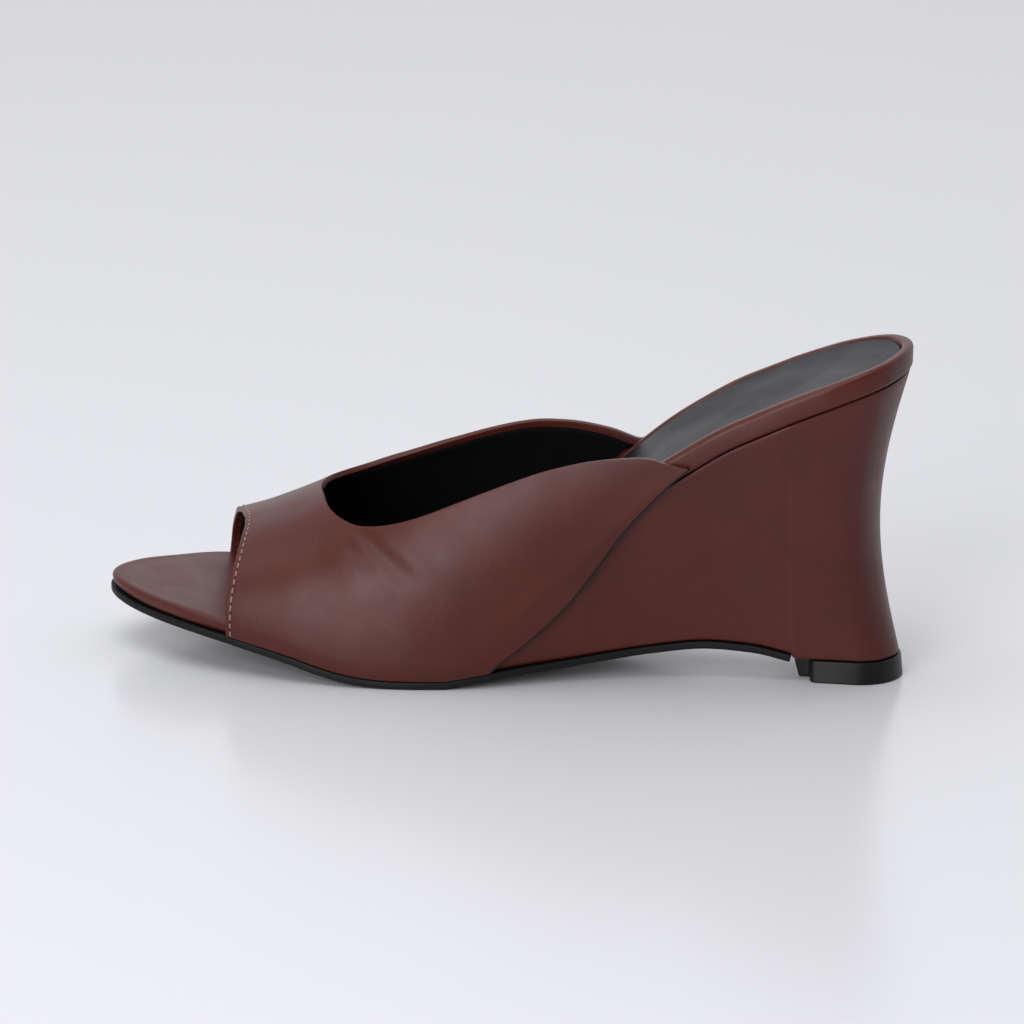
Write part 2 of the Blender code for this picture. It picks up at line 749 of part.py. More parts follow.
def new_object(name, fill, material, collection):
    mesh = bpy.data.meshes.new(name)
    builder = bmesh.new()
    fill(builder)
    builder.to_mesh(mesh)
    builder.free()
    mesh.materials.append(material)
    mesh.shade_smooth()
    mesh.set_sharp_from_angle(angle=SHARP_ANGLE)
    thing = bpy.data.objects.new(name, mesh)
    collection.objects.link(thing)
    return thing


def surface(name, colour, roughness):
    material = bpy.data.materials.new(name)
    material.use_nodes = True
    shader = material.node_tree.nodes["Principled BSDF"]
    shader.inputs["Base Color"].default_value = (*colour, 1.0)
    shader.inputs["Roughness"].default_value = roughness
    shader.inputs["Metallic"].default_value = 0.0
    material.diffuse_color = (*colour, 1.0)
    return material


def centre(things):
    """Moves the whole shoe so that the origin is under the middle of its bounding box."""
    bpy.context.view_layer.update()
    graph = bpy.context.evaluated_depsgraph_get()
    points = []
    for thing in things:
        points += [vertex.co.copy() for vertex in thing.evaluated_get(graph).data.vertices]
    middle = [0.5 * (min(p[k] for p in points) + max(p[k] for p in points)) for k in range(2)]
    for thing in things:
        thing.data.transform(Matrix.Translation(Vector((-middle[0], -middle[1], 0.0))))


def main():
    for old in list(bpy.data.objects):
        bpy.data.objects.remove(old)
    parts = bpy.data.collections.new("wedge_mule")
    bpy.context.scene.collection.children.link(parts)

    brown = surface("brown_calf", (0.105, 0.036, 0.027), 0.42)
    black = surface("black_lining", (0.012, 0.012, 0.014), 0.5)
    rubber = surface("black_rubber", (0.010, 0.010, 0.011), 0.45)

    outsole = new_object("outsole", build_outsole, rubber, parts)
    footbed = new_object("footbed", build_footbed, brown, parts)
    sock = new_object("sock", build_sock, black, parts)
    wedge = new_object("wedge", build_wedge, brown, parts)
    heel_tip = new_object("heel_tip", build_heel_tip, rubber, parts)
    bevel = heel_tip.modifiers.new("edges", "BEVEL")
    bevel.width = TIP_BEVEL
    bevel.segments = 2
    upper = new_object("upper", build_upper, brown, parts)
    wall = upper.modifiers.new("wall", "SOLIDIFY")
    wall.thickness = WALL
    wall.offset = -1.0
    wall.use_even_offset = True
    centre((outsole, footbed, sock, wedge, heel_tip, upper))


main()
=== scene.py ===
# %% [markdown]
# # A wedge mule in brown calf
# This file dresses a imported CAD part: a left women's mule with an open toe and heel, on a high wedge that is
# covered in the same leather as its vamp. The part's solids give its true form in a few facets. Here each piece is
# drawn again, finely, from the same named sizes, and gets the finish of the real material. Read it from the top as
# a lesson: a note says what each piece is on the real shoe and why it is made this way, and the code follows.

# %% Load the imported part
import bisect
import math

import bmesh
import bpy
import numpy as np
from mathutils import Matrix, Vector, noise


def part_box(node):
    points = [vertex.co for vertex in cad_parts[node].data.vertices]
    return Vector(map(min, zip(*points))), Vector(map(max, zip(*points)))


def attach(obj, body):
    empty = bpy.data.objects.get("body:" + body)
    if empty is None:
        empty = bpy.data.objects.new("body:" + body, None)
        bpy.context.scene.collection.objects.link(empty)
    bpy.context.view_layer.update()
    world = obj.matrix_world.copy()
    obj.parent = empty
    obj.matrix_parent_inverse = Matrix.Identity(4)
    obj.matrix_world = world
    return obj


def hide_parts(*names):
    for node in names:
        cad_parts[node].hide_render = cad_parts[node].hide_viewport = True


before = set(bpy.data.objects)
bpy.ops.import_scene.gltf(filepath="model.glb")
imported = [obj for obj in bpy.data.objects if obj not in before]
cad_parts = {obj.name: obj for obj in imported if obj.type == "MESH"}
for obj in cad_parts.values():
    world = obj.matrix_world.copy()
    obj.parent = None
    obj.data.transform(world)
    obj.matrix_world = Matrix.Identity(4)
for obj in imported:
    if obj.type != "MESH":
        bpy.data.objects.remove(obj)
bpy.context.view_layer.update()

print("packed nodes:", sorted(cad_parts))

# %% [markdown]
# # The shoe's sizes
# A shoe is built on a last, the wooden or plastic foot that gives it its form. These are the last's and the sole's
# driving sizes, the thicknesses, and the places along the shoe, all as in the part's own source, because the
# dressed shoe must have the same form. Here the toe is at X = 0, and the heel at the shoe's length.

# %% Sizes
MM = 0.001

# Driving sizes of the last and the sole
SHOE_LENGTH = 226.0 * MM
BASE_LENGTH = 225.0 * MM
BALL_WIDTH = 71.3 * MM
WAIST_WIDTH = 44.9 * MM
SEAT_WIDTH = 49.6 * MM
TREAD_WIDTH = 73.8 * MM
SHANK_WIDTH = 28.0 * MM
HEEL_WIDTH = 24.2 * MM
SEAT_HEIGHT = 95.0 * MM
TOE_SPRING = 14.0 * MM
ARCH_HEIGHT = 9.0 * MM
INSTEP_HEIGHT = 46.7 * MM
INSTEP_RISE = 66.0 * MM
WAIST_TWIST = 3.6 * MM
EAR_REACH = 38.0 * MM

# Thicknesses and clearance
OUTSOLE_THICKNESS = 2.1 * MM
FOOTBED_THICKNESS = 6.3 * MM
SOCK_THICKNESS = 1.0 * MM
WALL = 1.5 * MM
TIP_HEIGHT = 6.3 * MM
GAP = 0.3 * MM

# Edges and hollows
FOOTBED_ROUND = 1.5 * MM
FOOTBED_UNDERCUT = 1.1 * MM
SOCK_MARGIN = 3.3 * MM
SEAT_DISH = 1.0 * MM
HEEL_HOLLOW = 6.8 * MM
WEDGE_REVEAL = 0.5 * MM
WEDGE_FADE = 8.0 * MM
SOLE_MARGIN = 0.5 * MM
SOLE_ROUND = 0.5 * MM
FEATHER_TUCK = 1.0 * MM
FEATHER_HEIGHT = 6.0 * MM

# Heel tip
TIP_LENGTH = 24.9 * MM
TIP_FLARE = 1.6 * MM
TONGUE_LENGTH = 5.0 * MM
TONGUE_WIDTH = 14.0 * MM
TONGUE_SLOPE = 1.6 * MM
WEDGE_STEP = 0.7 * MM

# Places along the shoe, as shares of its length from the toe
TREAD_FRONT = 0.385
TREAD_BACK = 0.448
HEEL_BREAST = 0.888
SOLE_END = HEEL_BREAST - (TONGUE_LENGTH + GAP) / SHOE_LENGTH
WEDGE_START = 0.405
SOCK_START = 0.345
RECESS_START = 0.310
RECESS_END = 0.340
DISH_START = 0.100
DISH_END = 0.400
FEATHER_END = 0.700
FEATHER_FADE = 0.500
HOLLOW_START = 0.800
WEDGE_STEP_END = SOLE_END + WEDGE_STEP / SHOE_LENGTH

# Shape of the curves: bow of the wedge's sides, fullness of the instep across and up
SIDE_BOW = 1.2
ARCH_ACROSS = 0.92
ARCH_UP = 0.96
SIDE_POINTS = 24
ARCH_POINTS = 48

# %% [markdown]
# # Tables of shares
# Each table gives a curve of the last as shares of a named size, by share along the shoe. So a curve keeps its
# character when a size changes. A shoemaker's pattern is graded in the same way from one size to the next.

# %% Tables
# Outline of the footbed: share along, the width it follows, its shares on the lateral and the medial side
FOOTBED_OUTLINE = (
    (0.000, BALL_WIDTH, 0.035, -0.035),
    (0.012, BALL_WIDTH, 0.147, 0.087),
    (0.025, BALL_WIDTH, 0.197, 0.145),
    (0.060, BALL_WIDTH, 0.291, 0.245),
    (0.090, BALL_WIDTH, 0.354, 0.320),
    (0.120, BALL_WIDTH, 0.403, 0.372),
    (0.175, BALL_WIDTH, 0.459, 0.419),
    (0.220, BALL_WIDTH, 0.491, 0.439),
    (0.280, BALL_WIDTH, 0.523, 0.460),
    (0.340, BALL_WIDTH, 0.539, 0.461),
    (0.400, BALL_WIDTH, 0.532, 0.442),
    (0.450, BALL_WIDTH, 0.512, 0.410),
    (0.500, BALL_WIDTH, 0.481, 0.365),
    (0.550, BALL_WIDTH, 0.446, 0.323),
    (0.600, WAIST_WIDTH, 0.655, 0.454),
    (0.650, WAIST_WIDTH, 0.615, 0.414),
    (0.700, WAIST_WIDTH, 0.592, 0.399),
    (0.750, WAIST_WIDTH, 0.584, 0.416),
    (0.800, SEAT_WIDTH, 0.532, 0.419),
    (0.850, SEAT_WIDTH, 0.544, 0.456),
    (0.900, SEAT_WIDTH, 0.536, 0.452),
    (0.940, SEAT_WIDTH, 0.496, 0.407),
    (0.970, SEAT_WIDTH, 0.411, 0.315),
    (0.990, SEAT_WIDTH, 0.266, 0.169),
    (1.000, SEAT_WIDTH, 0.044, -0.044),
)

# Outline of the outsole and of the wedge's foot, in the same columns; its shares along are of BASE_LENGTH
BASE_OUTLINE = (
    (0.000, TREAD_WIDTH, 0.034, -0.034),
    (0.012, TREAD_WIDTH, 0.142, 0.083),
    (0.025, TREAD_WIDTH, 0.191, 0.138),
    (0.060, TREAD_WIDTH, 0.277, 0.228),
    (0.090, TREAD_WIDTH, 0.338, 0.305),
    (0.120, TREAD_WIDTH, 0.386, 0.356),
    (0.175, TREAD_WIDTH, 0.448, 0.409),
    (0.220, TREAD_WIDTH, 0.486, 0.436),
    (0.280, TREAD_WIDTH, 0.520, 0.460),
    (0.340, TREAD_WIDTH, 0.536, 0.461),
    (0.400, TREAD_WIDTH, 0.529, 0.442),
    (0.450, TREAD_WIDTH, 0.507, 0.408),
    (0.500, TREAD_WIDTH, 0.468, 0.352),
    (0.550, TREAD_WIDTH, 0.408, 0.288),
    (0.600, SHANK_WIDTH, 0.921, 0.621),
    (0.650, SHANK_WIDTH, 0.786, 0.511),
    (0.700, SHANK_WIDTH, 0.682, 0.432),
    (0.750, SHANK_WIDTH, 0.618, 0.382),
    (0.800, HEEL_WIDTH, 0.669, 0.409),
    (0.850, HEEL_WIDTH, 0.636, 0.397),
    (0.900, HEEL_WIDTH, 0.616, 0.393),
    (0.950, HEEL_WIDTH, 0.608, 0.384),
    (0.966, HEEL_WIDTH, 0.578, 0.355),
    (0.980, HEEL_WIDTH, 0.500, 0.277),
    (0.992, HEEL_WIDTH, 0.368, 0.145),
    (1.000, HEEL_WIDTH, 0.112, -0.112),
)

# Height of the outsole's underside: share along, the height it follows, share of that height
SOLE_LINE = (
    (0.000, TOE_SPRING, 1.000),
    (0.020, TOE_SPRING, 0.950),
    (0.055, TOE_SPRING, 0.864),
    (0.114, TOE_SPRING, 0.771),
    (0.169, TOE_SPRING, 0.650),
    (0.210, TOE_SPRING, 0.536),
    (0.260, TOE_SPRING, 0.364),
    (0.300, TOE_SPRING, 0.190),
    (0.340, TOE_SPRING, 0.060),
    (TREAD_FRONT, TOE_SPRING, 0.000),
    (TREAD_BACK, ARCH_HEIGHT, 0.000),
    (0.472, ARCH_HEIGHT, 0.085),
    (0.520, ARCH_HEIGHT, 0.280),
    (0.600, ARCH_HEIGHT, 0.510),
    (0.696, ARCH_HEIGHT, 0.840),
    (0.762, ARCH_HEIGHT, 1.000),
    (0.818, ARCH_HEIGHT, 0.900),
    (SOLE_END, ARCH_HEIGHT, 0.640),
)

# Rise of the footbed's edge above its height at the tread: share along, share of the whole rise
SEAT_LINE = (
    (0.000, 0.000),
    (0.360, 0.000),
    (0.420, 0.035),
    (0.460, 0.087),
    (0.500, 0.164),
    (0.540, 0.257),
    (0.580, 0.359),
    (0.620, 0.462),
    (0.660, 0.561),
    (0.700, 0.648),
    (0.740, 0.718),
    (0.780, 0.780),
    (0.820, 0.828),
    (0.860, 0.874),
    (0.900, 0.915),
    (0.950, 0.960),
    (1.000, 1.000),
)

# Share along, then shares of FOOTBED_THICKNESS and of WAIST_TWIST
FOOTBED_BUILD = (
    (0.000, 0.50, 0.00),
    (0.060, 0.62, 0.00),
    (0.200, 0.66, 0.00),
    (0.400, 0.80, 0.00),
    (0.550, 0.95, 0.60),
    (0.650, 1.00, 1.00),
    (0.730, 1.00, 1.00),
    (0.780, 1.00, 0.80),
    (0.840, 1.00, 0.42),
    (0.900, 1.00, 0.22),
    (0.950, 1.00, 0.05),
    (1.000, 1.00, 0.00),
)

# Ridge of the instep: share along, share of INSTEP_HEIGHT, share of INSTEP_RISE added behind the throat,
# and the ridge's place across, as a share of BALL_WIDTH towards the medial side
INSTEP_RIDGE = (
    (0.150, 0.772, 0.000, 0.010),
    (0.168, 0.799, 0.000, 0.014),
    (0.190, 0.833, 0.000, 0.018),
    (0.215, 0.882, 0.000, 0.022),
    (0.241, 0.936, 0.000, 0.026),
    (0.269, 1.000, 0.000, 0.030),
    (0.300, 1.000, 0.060, 0.034),
    (0.340, 1.000, 0.155, 0.040),
    (0.400, 1.000, 0.300, 0.048),
    (0.460, 1.000, 0.440, 0.052),
    (0.520, 1.000, 0.575, 0.054),
    (0.600, 1.000, 0.740, 0.050),
    (0.680, 1.000, 0.880, 0.044),
    (0.760, 1.000, 1.000, 0.040),
)

# Toe opening, from the sole edge to the ridge: share of the way up the wall, shares along on the lateral and
# the medial side
TOE_OPENING = (
    (0.00, 0.178, 0.119),
    (0.25, 0.180, 0.125),
    (0.50, 0.184, 0.137),
    (0.70, 0.183, 0.148),
    (0.85, 0.177, 0.157),
    (1.00, 0.166, 0.166),
)

# Topline, from the throat to the tip of the ear: share along, and share of the way round from the seat edge
# (0) to the ridge (1), for the lateral and the medial side
TOPLINE_LATERAL = (
    (0.269, 1.00),
    (0.279, 0.84),
    (0.288, 0.74),
    (0.311, 0.60),
    (0.343, 0.50),
    (0.394, 0.44),
    (0.468, 0.395),
    (0.541, 0.33),
    (0.600, 0.25),
    (0.662, 0.13),
    (0.710, 0.01),
    (0.745, -0.16),
)
TOPLINE_MEDIAL = (
    (0.269, 1.00),
    (0.276, 0.84),
    (0.292, 0.765),
    (0.315, 0.695),
    (0.355, 0.620),
    (0.415, 0.545),
    (0.465, 0.487),
    (0.517, 0.407),
    (0.568, 0.290),
    (0.619, 0.137),
    (0.657, 0.00),
    (0.712, -0.16),
)

# Seam where the vamp ends on the wedge: share of the way up from the sole to the ear's tip, share along
SIDE_SEAM = (
    (0.00, 0.508),
    (0.05, 0.520),
    (0.11, 0.541),
    (0.28, 0.590),
    (0.40, 0.616),
    (0.55, 0.643),
    (0.69, 0.668),
    (0.82, 0.697),
    (0.92, 0.722),
    (1.00, 0.745),
)

# %% [markdown]
# # Smooth curves through the tables
# A monotone cubic goes through every point of a table and never swings past one, so it can't put a bulge into the
# last that nobody drew. The outlines are read over the share of a half turn, which makes their two ends round.

# %% Curves
def smooth_curve(places, values):
    """A function through the points that never overshoots them: a monotone cubic."""
    places = [float(place) for place in places]
    values = [float(value) for value in values]
    steps = [b - a for a, b in zip(places, places[1:])]
    slopes = [(b - a) / step for a, b, step in zip(values, values[1:], steps)]
    tangents = [slopes[0]] + [0.0] * (len(places) - 2) + [slopes[-1]]
    for i in range(1, len(places) - 1):
        if slopes[i - 1] * slopes[i] > 0:
            before = 2 * steps[i] + steps[i - 1]
            after = steps[i] + 2 * steps[i - 1]
            tangents[i] = (before + after) / (before / slopes[i - 1] + after / slopes[i])

    def curve(at):
        at = min(max(float(at), places[0]), places[-1])
        i = min(bisect.bisect_right(places, at) - 1, len(steps) - 1)
        share = (at - places[i]) / steps[i]
        left = (1 + 2 * share) * (1 - share) ** 2 * values[i] + share**2 * (3 - 2 * share) * values[i + 1]
        bend = share * (1 - share) ** 2 * tangents[i] - share**2 * (1 - share) * tangents[i + 1]
        return left + bend * steps[i]

    return curve


def turn(along):
    """Share of the half turn that a round-ended outline has made; drawn over it, the ends come out round."""
    return math.acos(min(max(1 - 2 * along, -1), 1)) / math.pi


def outline_curves(rows):
    """The lateral and the medial edge of an outline table, as functions of turn()."""
    places = [turn(row[0]) for row in rows]
    lateral = smooth_curve(places, [-row[1] * row[2] for row in rows])
    medial = smooth_curve(places, [row[1] * row[3] for row in rows])
    return lateral, medial


def column(rows, index, scale=1.0):
    """One column of a table as a function of the share along."""
    return smooth_curve([row[0] for row in rows], [row[index] * scale for row in rows])


# %% The curves that the pieces share
FOOTBED_EDGE = outline_curves(FOOTBED_OUTLINE)
BASE_EDGE = outline_curves(BASE_OUTLINE)
sole_line = smooth_curve([row[0] for row in SOLE_LINE], [row[1] * row[2] for row in SOLE_LINE])
spring_line = smooth_curve(
    [row[0] for row in SOLE_LINE],
    [row[1] * row[2] if row[0] < TREAD_BACK else 0.0 for row in SOLE_LINE],
)
seat_rise = column(SEAT_LINE, 1)
footbed_build = column(FOOTBED_BUILD, 1, FOOTBED_THICKNESS)
waist_twist = column(FOOTBED_BUILD, 2, WAIST_TWIST)
ridge_height = smooth_curve(
    [row[0] for row in INSTEP_RIDGE],
    [row[1] * INSTEP_HEIGHT + row[2] * INSTEP_RISE for row in INSTEP_RIDGE],
)
ridge_side = column(INSTEP_RIDGE, 3, BALL_WIDTH)

STACK = OUTSOLE_THICKNESS + GAP
HEEL_FLOOR = TIP_HEIGHT + GAP
SEAT_RISE = SEAT_HEIGHT - STACK - FOOTBED_THICKNESS


def ease(at, start, end):
    """0 up to start, 1 from end on, and a smooth step between them."""
    share = min(max((at - start) / (end - start), 0.0), 1.0)
    return share * share * (3 - 2 * share)


def along_of(x):
    return min(max(x / SHOE_LENGTH, 0.0), 1.0)


# %% [markdown]
# # Heights under and over the foot
# From the ground up, the layers are the sheet sole, the wedge, and the footbed with its dish and the sock's recess.
# Each height is one small function, and the layers are stacked on each other with a fine clearance.

# %% Heights
def outsole_underside(x, y=0.0):
    return sole_line(along_of(x))


def outsole_top(x, y=0.0):
    return outsole_underside(x) + OUTSOLE_THICKNESS


def wedge_underside(x, y=0.0):
    """The wedge stands on the outsole, and behind the outsole's end on the heel tip."""
    behind = ease(along_of(x), SOLE_END, WEDGE_STEP_END)
    return (1 - behind) * (outsole_top(x) + GAP) + behind * HEEL_FLOOR


def seat_line(along):
    """Height of the footbed's edge, midway between its two sides."""
    return spring_line(along) + STACK + footbed_build(along) + SEAT_RISE * seat_rise(along)


def across_share(x, y):
    """Place across the footbed: -1 at its lateral edge, +1 at its medial edge."""
    lateral, medial = (edge(turn(along_of(x))) for edge in FOOTBED_EDGE)
    return min(max((2 * y - lateral - medial) / max(medial - lateral, MM), -1.0), 1.0)


def seat_height(x, y):
    """Height of the footbed's edge plane, with the twist that lifts the medial side of the waist."""
    return seat_line(along_of(x)) + 0.5 * waist_twist(along_of(x)) * across_share(x, y)


def upright(along):
    """How much longer a plate's thickness is along Z than square to the plate, from its slope."""
    step = 0.004
    low = max(along - step, 0.0)
    high = min(along + step, 1.0)
    slope = (seat_line(high) - seat_line(low)) / ((high - low) * SHOE_LENGTH)
    return math.hypot(1.0, slope)


def footbed_underside(x, y):
    return seat_height(x, y) - footbed_build(along_of(x)) * upright(along_of(x))


def footbed_floor(x, y):
    """Height of the footbed's top inside its edge: dished, and sunk where the sock is glued in."""
    along = along_of(x)
    dish = SEAT_DISH * (1 - across_share(x, y) ** 2) * ease(along, DISH_START, DISH_END)
    recess = (SOCK_THICKNESS + GAP) * ease(along, RECESS_START, RECESS_END)
    return seat_height(x, y) - dish - recess * upright(along)


# %% Outlines
def outline_point(edges, length, along, side, inset):
    """A point of a round-ended outline, moved in by inset square to the outline."""
    edge = edges[0] if side < 0 else edges[1]
    at = turn(along)
    step = 0.002
    low = max(at - step, 0.0)
    high = min(at + step, 1.0)
    run = length * 0.5 * (math.cos(math.pi * low) - math.cos(math.pi * high))
    rise = edge(high) - edge(low)
    if at <= step or at >= 1 - step:
        run = 0.0
    size = math.hypot(run, rise)
    x = length * along + side * rise / size * inset
    y = edge(at) - side * run / size * inset
    return x, y


def footbed_point(along, side, inset=0.0):
    return outline_point(FOOTBED_EDGE, SHOE_LENGTH, along, side, inset)


def base_point(along, side, inset=0.0):
    """A point of the sole's outline under a footbed station; the heel end is drawn in to the shorter base."""
    share = BASE_LENGTH / SHOE_LENGTH
    drawn = along - (1 - share) * ease(along, HOLLOW_START, 1.0)
    return outline_point(BASE_EDGE, BASE_LENGTH, min(drawn / share, 1.0), side, inset)


# %% [markdown]
# # Sides of the body
# The vamp is lasted: pulled down over the footbed's edge and the wedge's front, and drawn in a little under the
# sole. So its side follows one body, and the wedge behind it has the same side, drawn in by a small reveal.

# %% Sides
def feather(along, height):
    """How far the lasted edge is drawn in under the shoe, at a height over the sole."""
    over = max(height - wedge_underside(along * SHOE_LENGTH), 0.0)
    return FEATHER_TUCK * max(0.0, 1 - over / FEATHER_HEIGHT) ** 2


def slant(along, side):
    """How much longer a wall is across the shoe than square to the outline."""
    step = 0.01
    edge = FOOTBED_EDGE[0 if side < 0 else 1]
    rise = edge(turn(along + step)) - edge(turn(along - step))
    return math.hypot(1.0, rise / (2 * step * SHOE_LENGTH))


def body_half(along, height, side):
    """Distance of the lasted body's side from the middle plane at a height, over the sole or the footbed."""
    foot = wedge_underside(along * SHOE_LENGTH)
    edge = footbed_point(along, side)[1]
    top = footbed_underside(along * SHOE_LENGTH, edge)
    wide = abs(edge)
    narrow = min(abs(base_point(along, side)[1]) - SOLE_MARGIN, wide)
    narrow = wide + (narrow - wide) * ease(top - foot, 0.0, WEDGE_FADE)
    share = min(max((height - foot) / max(top - foot, MM), 0.0), 1.0)
    half = narrow + (wide - narrow) * share**SIDE_BOW
    return half - feather(along, height) * (1 - ease(along, FEATHER_FADE, FEATHER_END))


def wedge_side(along, side, share):
    """A point of the wedge's side, a share of the way up from its foot to the footbed."""
    top_x, top_y = footbed_point(along, side, WEDGE_REVEAL)
    foot_x, foot_y = base_point(along, side, SOLE_MARGIN)
    foot_z = wedge_underside(foot_x)
    top_z = footbed_underside(top_x, top_y) - GAP
    z = foot_z + (top_z - foot_z) * share
    hollow = HEEL_HOLLOW * ease(along, HOLLOW_START, 2 - HOLLOW_START) * 2
    x = foot_x + (top_x - foot_x) * share - hollow * math.sin(math.pi * share)
    y = foot_y + (top_y - foot_y) * share**SIDE_BOW
    if along < HOLLOW_START:
        y = side * (body_half(along, z, side) - WEDGE_REVEAL * share)
    return x, y, z


# %% [markdown]
# # Sections over the instep
# One upright section of the vamp goes up the lasted side, and then over the foot in a quarter of a superellipse,
# which is an oval with fuller shoulders. The length along a section is what leather keeps when it is pulled.

# %% Sections
def section(along, side):
    """The vamp's outer skin in one upright section: points from the sole edge up to the instep's ridge."""
    x = along * SHOE_LENGTH
    edge = footbed_point(along, side)[1]
    foot = wedge_underside(x)
    seat = seat_height(x, edge)
    offset = (GAP + WALL) * slant(along, side)
    points = []
    for i in range(SIDE_POINTS + 1):
        z = foot + (seat - foot) * i / SIDE_POINTS
        points.append((x, side * (body_half(along, z, side) + offset), z))
    start_y = points[-1][1]
    ridge_y = ridge_side(along)
    ridge_z = ridge_height(along)
    for i in range(1, ARCH_POINTS + 1):
        angle = 0.5 * math.pi * i / ARCH_POINTS
        y = ridge_y + (start_y - ridge_y) * max(math.cos(angle), 0.0) ** ARCH_ACROSS
        z = seat + (ridge_z - seat) * math.sin(angle) ** ARCH_UP
        points.append((x, y, z))
    return np.array(points)


def running_length(points):
    steps = np.linalg.norm(np.diff(points, axis=0), axis=1)
    return np.concatenate(([0.0], np.cumsum(steps)))


def round_length(along, side, share):
    """Length up the section to a share of the way round from the seat edge; a share below 0 lies under it."""
    lengths = running_length(section(along, side))
    if share < 0:
        return float(lengths[SIDE_POINTS] + share * EAR_REACH)
    return float(np.interp(SIDE_POINTS + ARCH_POINTS * share, np.arange(len(lengths)), lengths))


def evenly(points, count):
    """The same line of (share along, length up) with evenly spaced points."""
    points = np.asarray(points, float)
    lengths = running_length(points * np.array([SHOE_LENGTH, 1.0]))
    wanted = np.linspace(0.0, lengths[-1], count + 1)
    return np.stack([np.interp(wanted, lengths, points[:, k]) for k in range(2)], axis=1)


# %% Stations and rings
def stations(stops, steps, round_first, round_last):
    """Shares along through the named stops, so many steps between them; they shorten at a round end."""
    shares = [stops[0]]
    for low, high, count in zip(stops, stops[1:], steps):
        for k in range(1, count + 1):
            at = k / count
            if round_first and low == stops[0]:
                at = 1 - math.cos(0.5 * math.pi * at)
            if round_last and high == stops[-1]:
                at = math.sin(0.5 * math.pi * at)
            shares.append(low + (high - low) * at)
    return shares


def ring_of(edges, columns, bottom, top):
    """One station's ring: underside from lateral to medial, medial edge, top, lateral edge."""
    ring = []
    for surface, level, first, second in ((bottom, 0, -1, 1), (top, -1, 1, -1)):
        start = edges[first][level]
        end = edges[second][level]
        for k in range(1, columns):
            x = start[0] + (end[0] - start[0]) * k / columns
            y = start[1] + (end[1] - start[1]) * k / columns
            ring.append((x, y, surface(x, y)))
        ring.extend(edges[second] if second > 0 else reversed(edges[second]))
    return ring


# %% [markdown]
# # How finely the pieces are drawn
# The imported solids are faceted, so that they stay light. The pieces here follow the same named sizes with
# many more stations, so that light runs smoothly over them. A ring of points is made at each station along the
# shoe, and neighbouring rings are joined by faces: this is lofting, the way a hull is planked over its frames.
# Every piece is moved to the frame's place by two offsets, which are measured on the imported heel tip.

# %% Place the drawing in the frame
heel_low, heel_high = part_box("heel_tip")
tip_front = HEEL_BREAST * SHOE_LENGTH - TONGUE_LENGTH
tip_middle = sum(edge(turn(HEEL_BREAST)) for edge in BASE_EDGE) / 2
MOVE_X = heel_low.x - tip_front
MOVE_Y = 0.5 * (heel_low.y + heel_high.y) - tip_middle
print("moved by", round(MOVE_X, 5), round(MOVE_Y, 5))


# %% Make an object from rows of points
def add_piece(name, points, faces, material, sharp=40):
    """Builds a mesh, welds the points that coincide, and turns its faces outwards."""
    mesh = bpy.data.meshes.new(name)
    moved = [(x + MOVE_X, y + MOVE_Y, z) for x, y, z in points]
    mesh.from_pydata(moved, [], faces)
    builder = bmesh.new()
    builder.from_mesh(mesh)
    bmesh.ops.remove_doubles(builder, verts=builder.verts, dist=0.004 * MM)
    bmesh.ops.dissolve_degenerate(builder, edges=builder.edges, dist=0.002 * MM)
    bmesh.ops.recalc_face_normals(builder, faces=builder.faces)
    builder.to_mesh(mesh)
    builder.free()
    mesh.materials.append(material)
    mesh.shade_smooth()
    mesh.set_sharp_from_angle(angle=math.radians(sharp))
    piece = bpy.data.objects.new(name, mesh)
    bpy.context.scene.collection.objects.link(piece)
    print(name, len(mesh.polygons), "faces")
    return piece


def loft(name, rings, cap_first, cap_last, material, sharp=40):
    """Joins closed rings of as many points into one skin; a round end closes on itself."""
    count = len(rings[0])
    points = [point for ring in rings for point in ring]
    faces = []
    for r in range(len(rings) - 1):
        for i in range(count):
            j = (i + 1) % count
            faces.append((r * count + i, r * count + j, (r + 1) * count + j, (r + 1) * count + i))
    if cap_first:
        faces.append(tuple(reversed(range(count))))
    if cap_last:
        faces.append(tuple(range((len(rings) - 1) * count, len(rings) * count)))
    return add_piece(name, points, faces, material, sharp)


def stands_for(piece, node):
    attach(piece, "root")
    if node:
        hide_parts(node)
    return piece


# %% [markdown]
# # Colours and nodes
# Colours are picked as sRGB hex values, the numbers that a picture stores. Blender's shaders count in linear
# light, so one function turns a hex value into linear numbers. A second small function adds a node to a
# material, sets its values and links its inputs, so that a material reads as a short list of steps.

# %% Colour and node helpers
def linear(code):
    """sRGB hex such as '5a352f' as linear RGBA."""
    shares = [int(code[i : i + 2], 16) / 255 for i in (0, 2, 4)]
    return tuple(s / 12.92 if s <= 0.04045 else ((s + 0.055) / 1.055) ** 2.4 for s in shares) + (1.0,)


def add(tree, kind, settings=None, **inputs):
    """Adds a node; settings are its properties, and inputs are numbers, colours or sockets to link from."""
    made = tree.nodes.new("ShaderNode" + kind)
    for key, value in (settings or {}).items():
        setattr(made, key, value)
    for key, value in inputs.items():
        socket = made.inputs[int(key[1:])] if key[0] == "i" and key[1:].isdigit() else made.inputs[key.replace("_", " ")]
        if isinstance(value, bpy.types.NodeSocket):
            tree.links.new(value, socket)
        else:
            socket.default_value = value
    return made


def new_material(name, **constants):
    """A material with the given constants on its Principled shader; returns its tree and shader too."""
    material = bpy.data.materials.new(name)
    material.use_nodes = True
    tree = material.node_tree
    shader = tree.nodes["Principled BSDF"]
    for key, value in constants.items():
        shader.inputs[key.replace("_", " ")].default_value = value
    return material, tree, shader


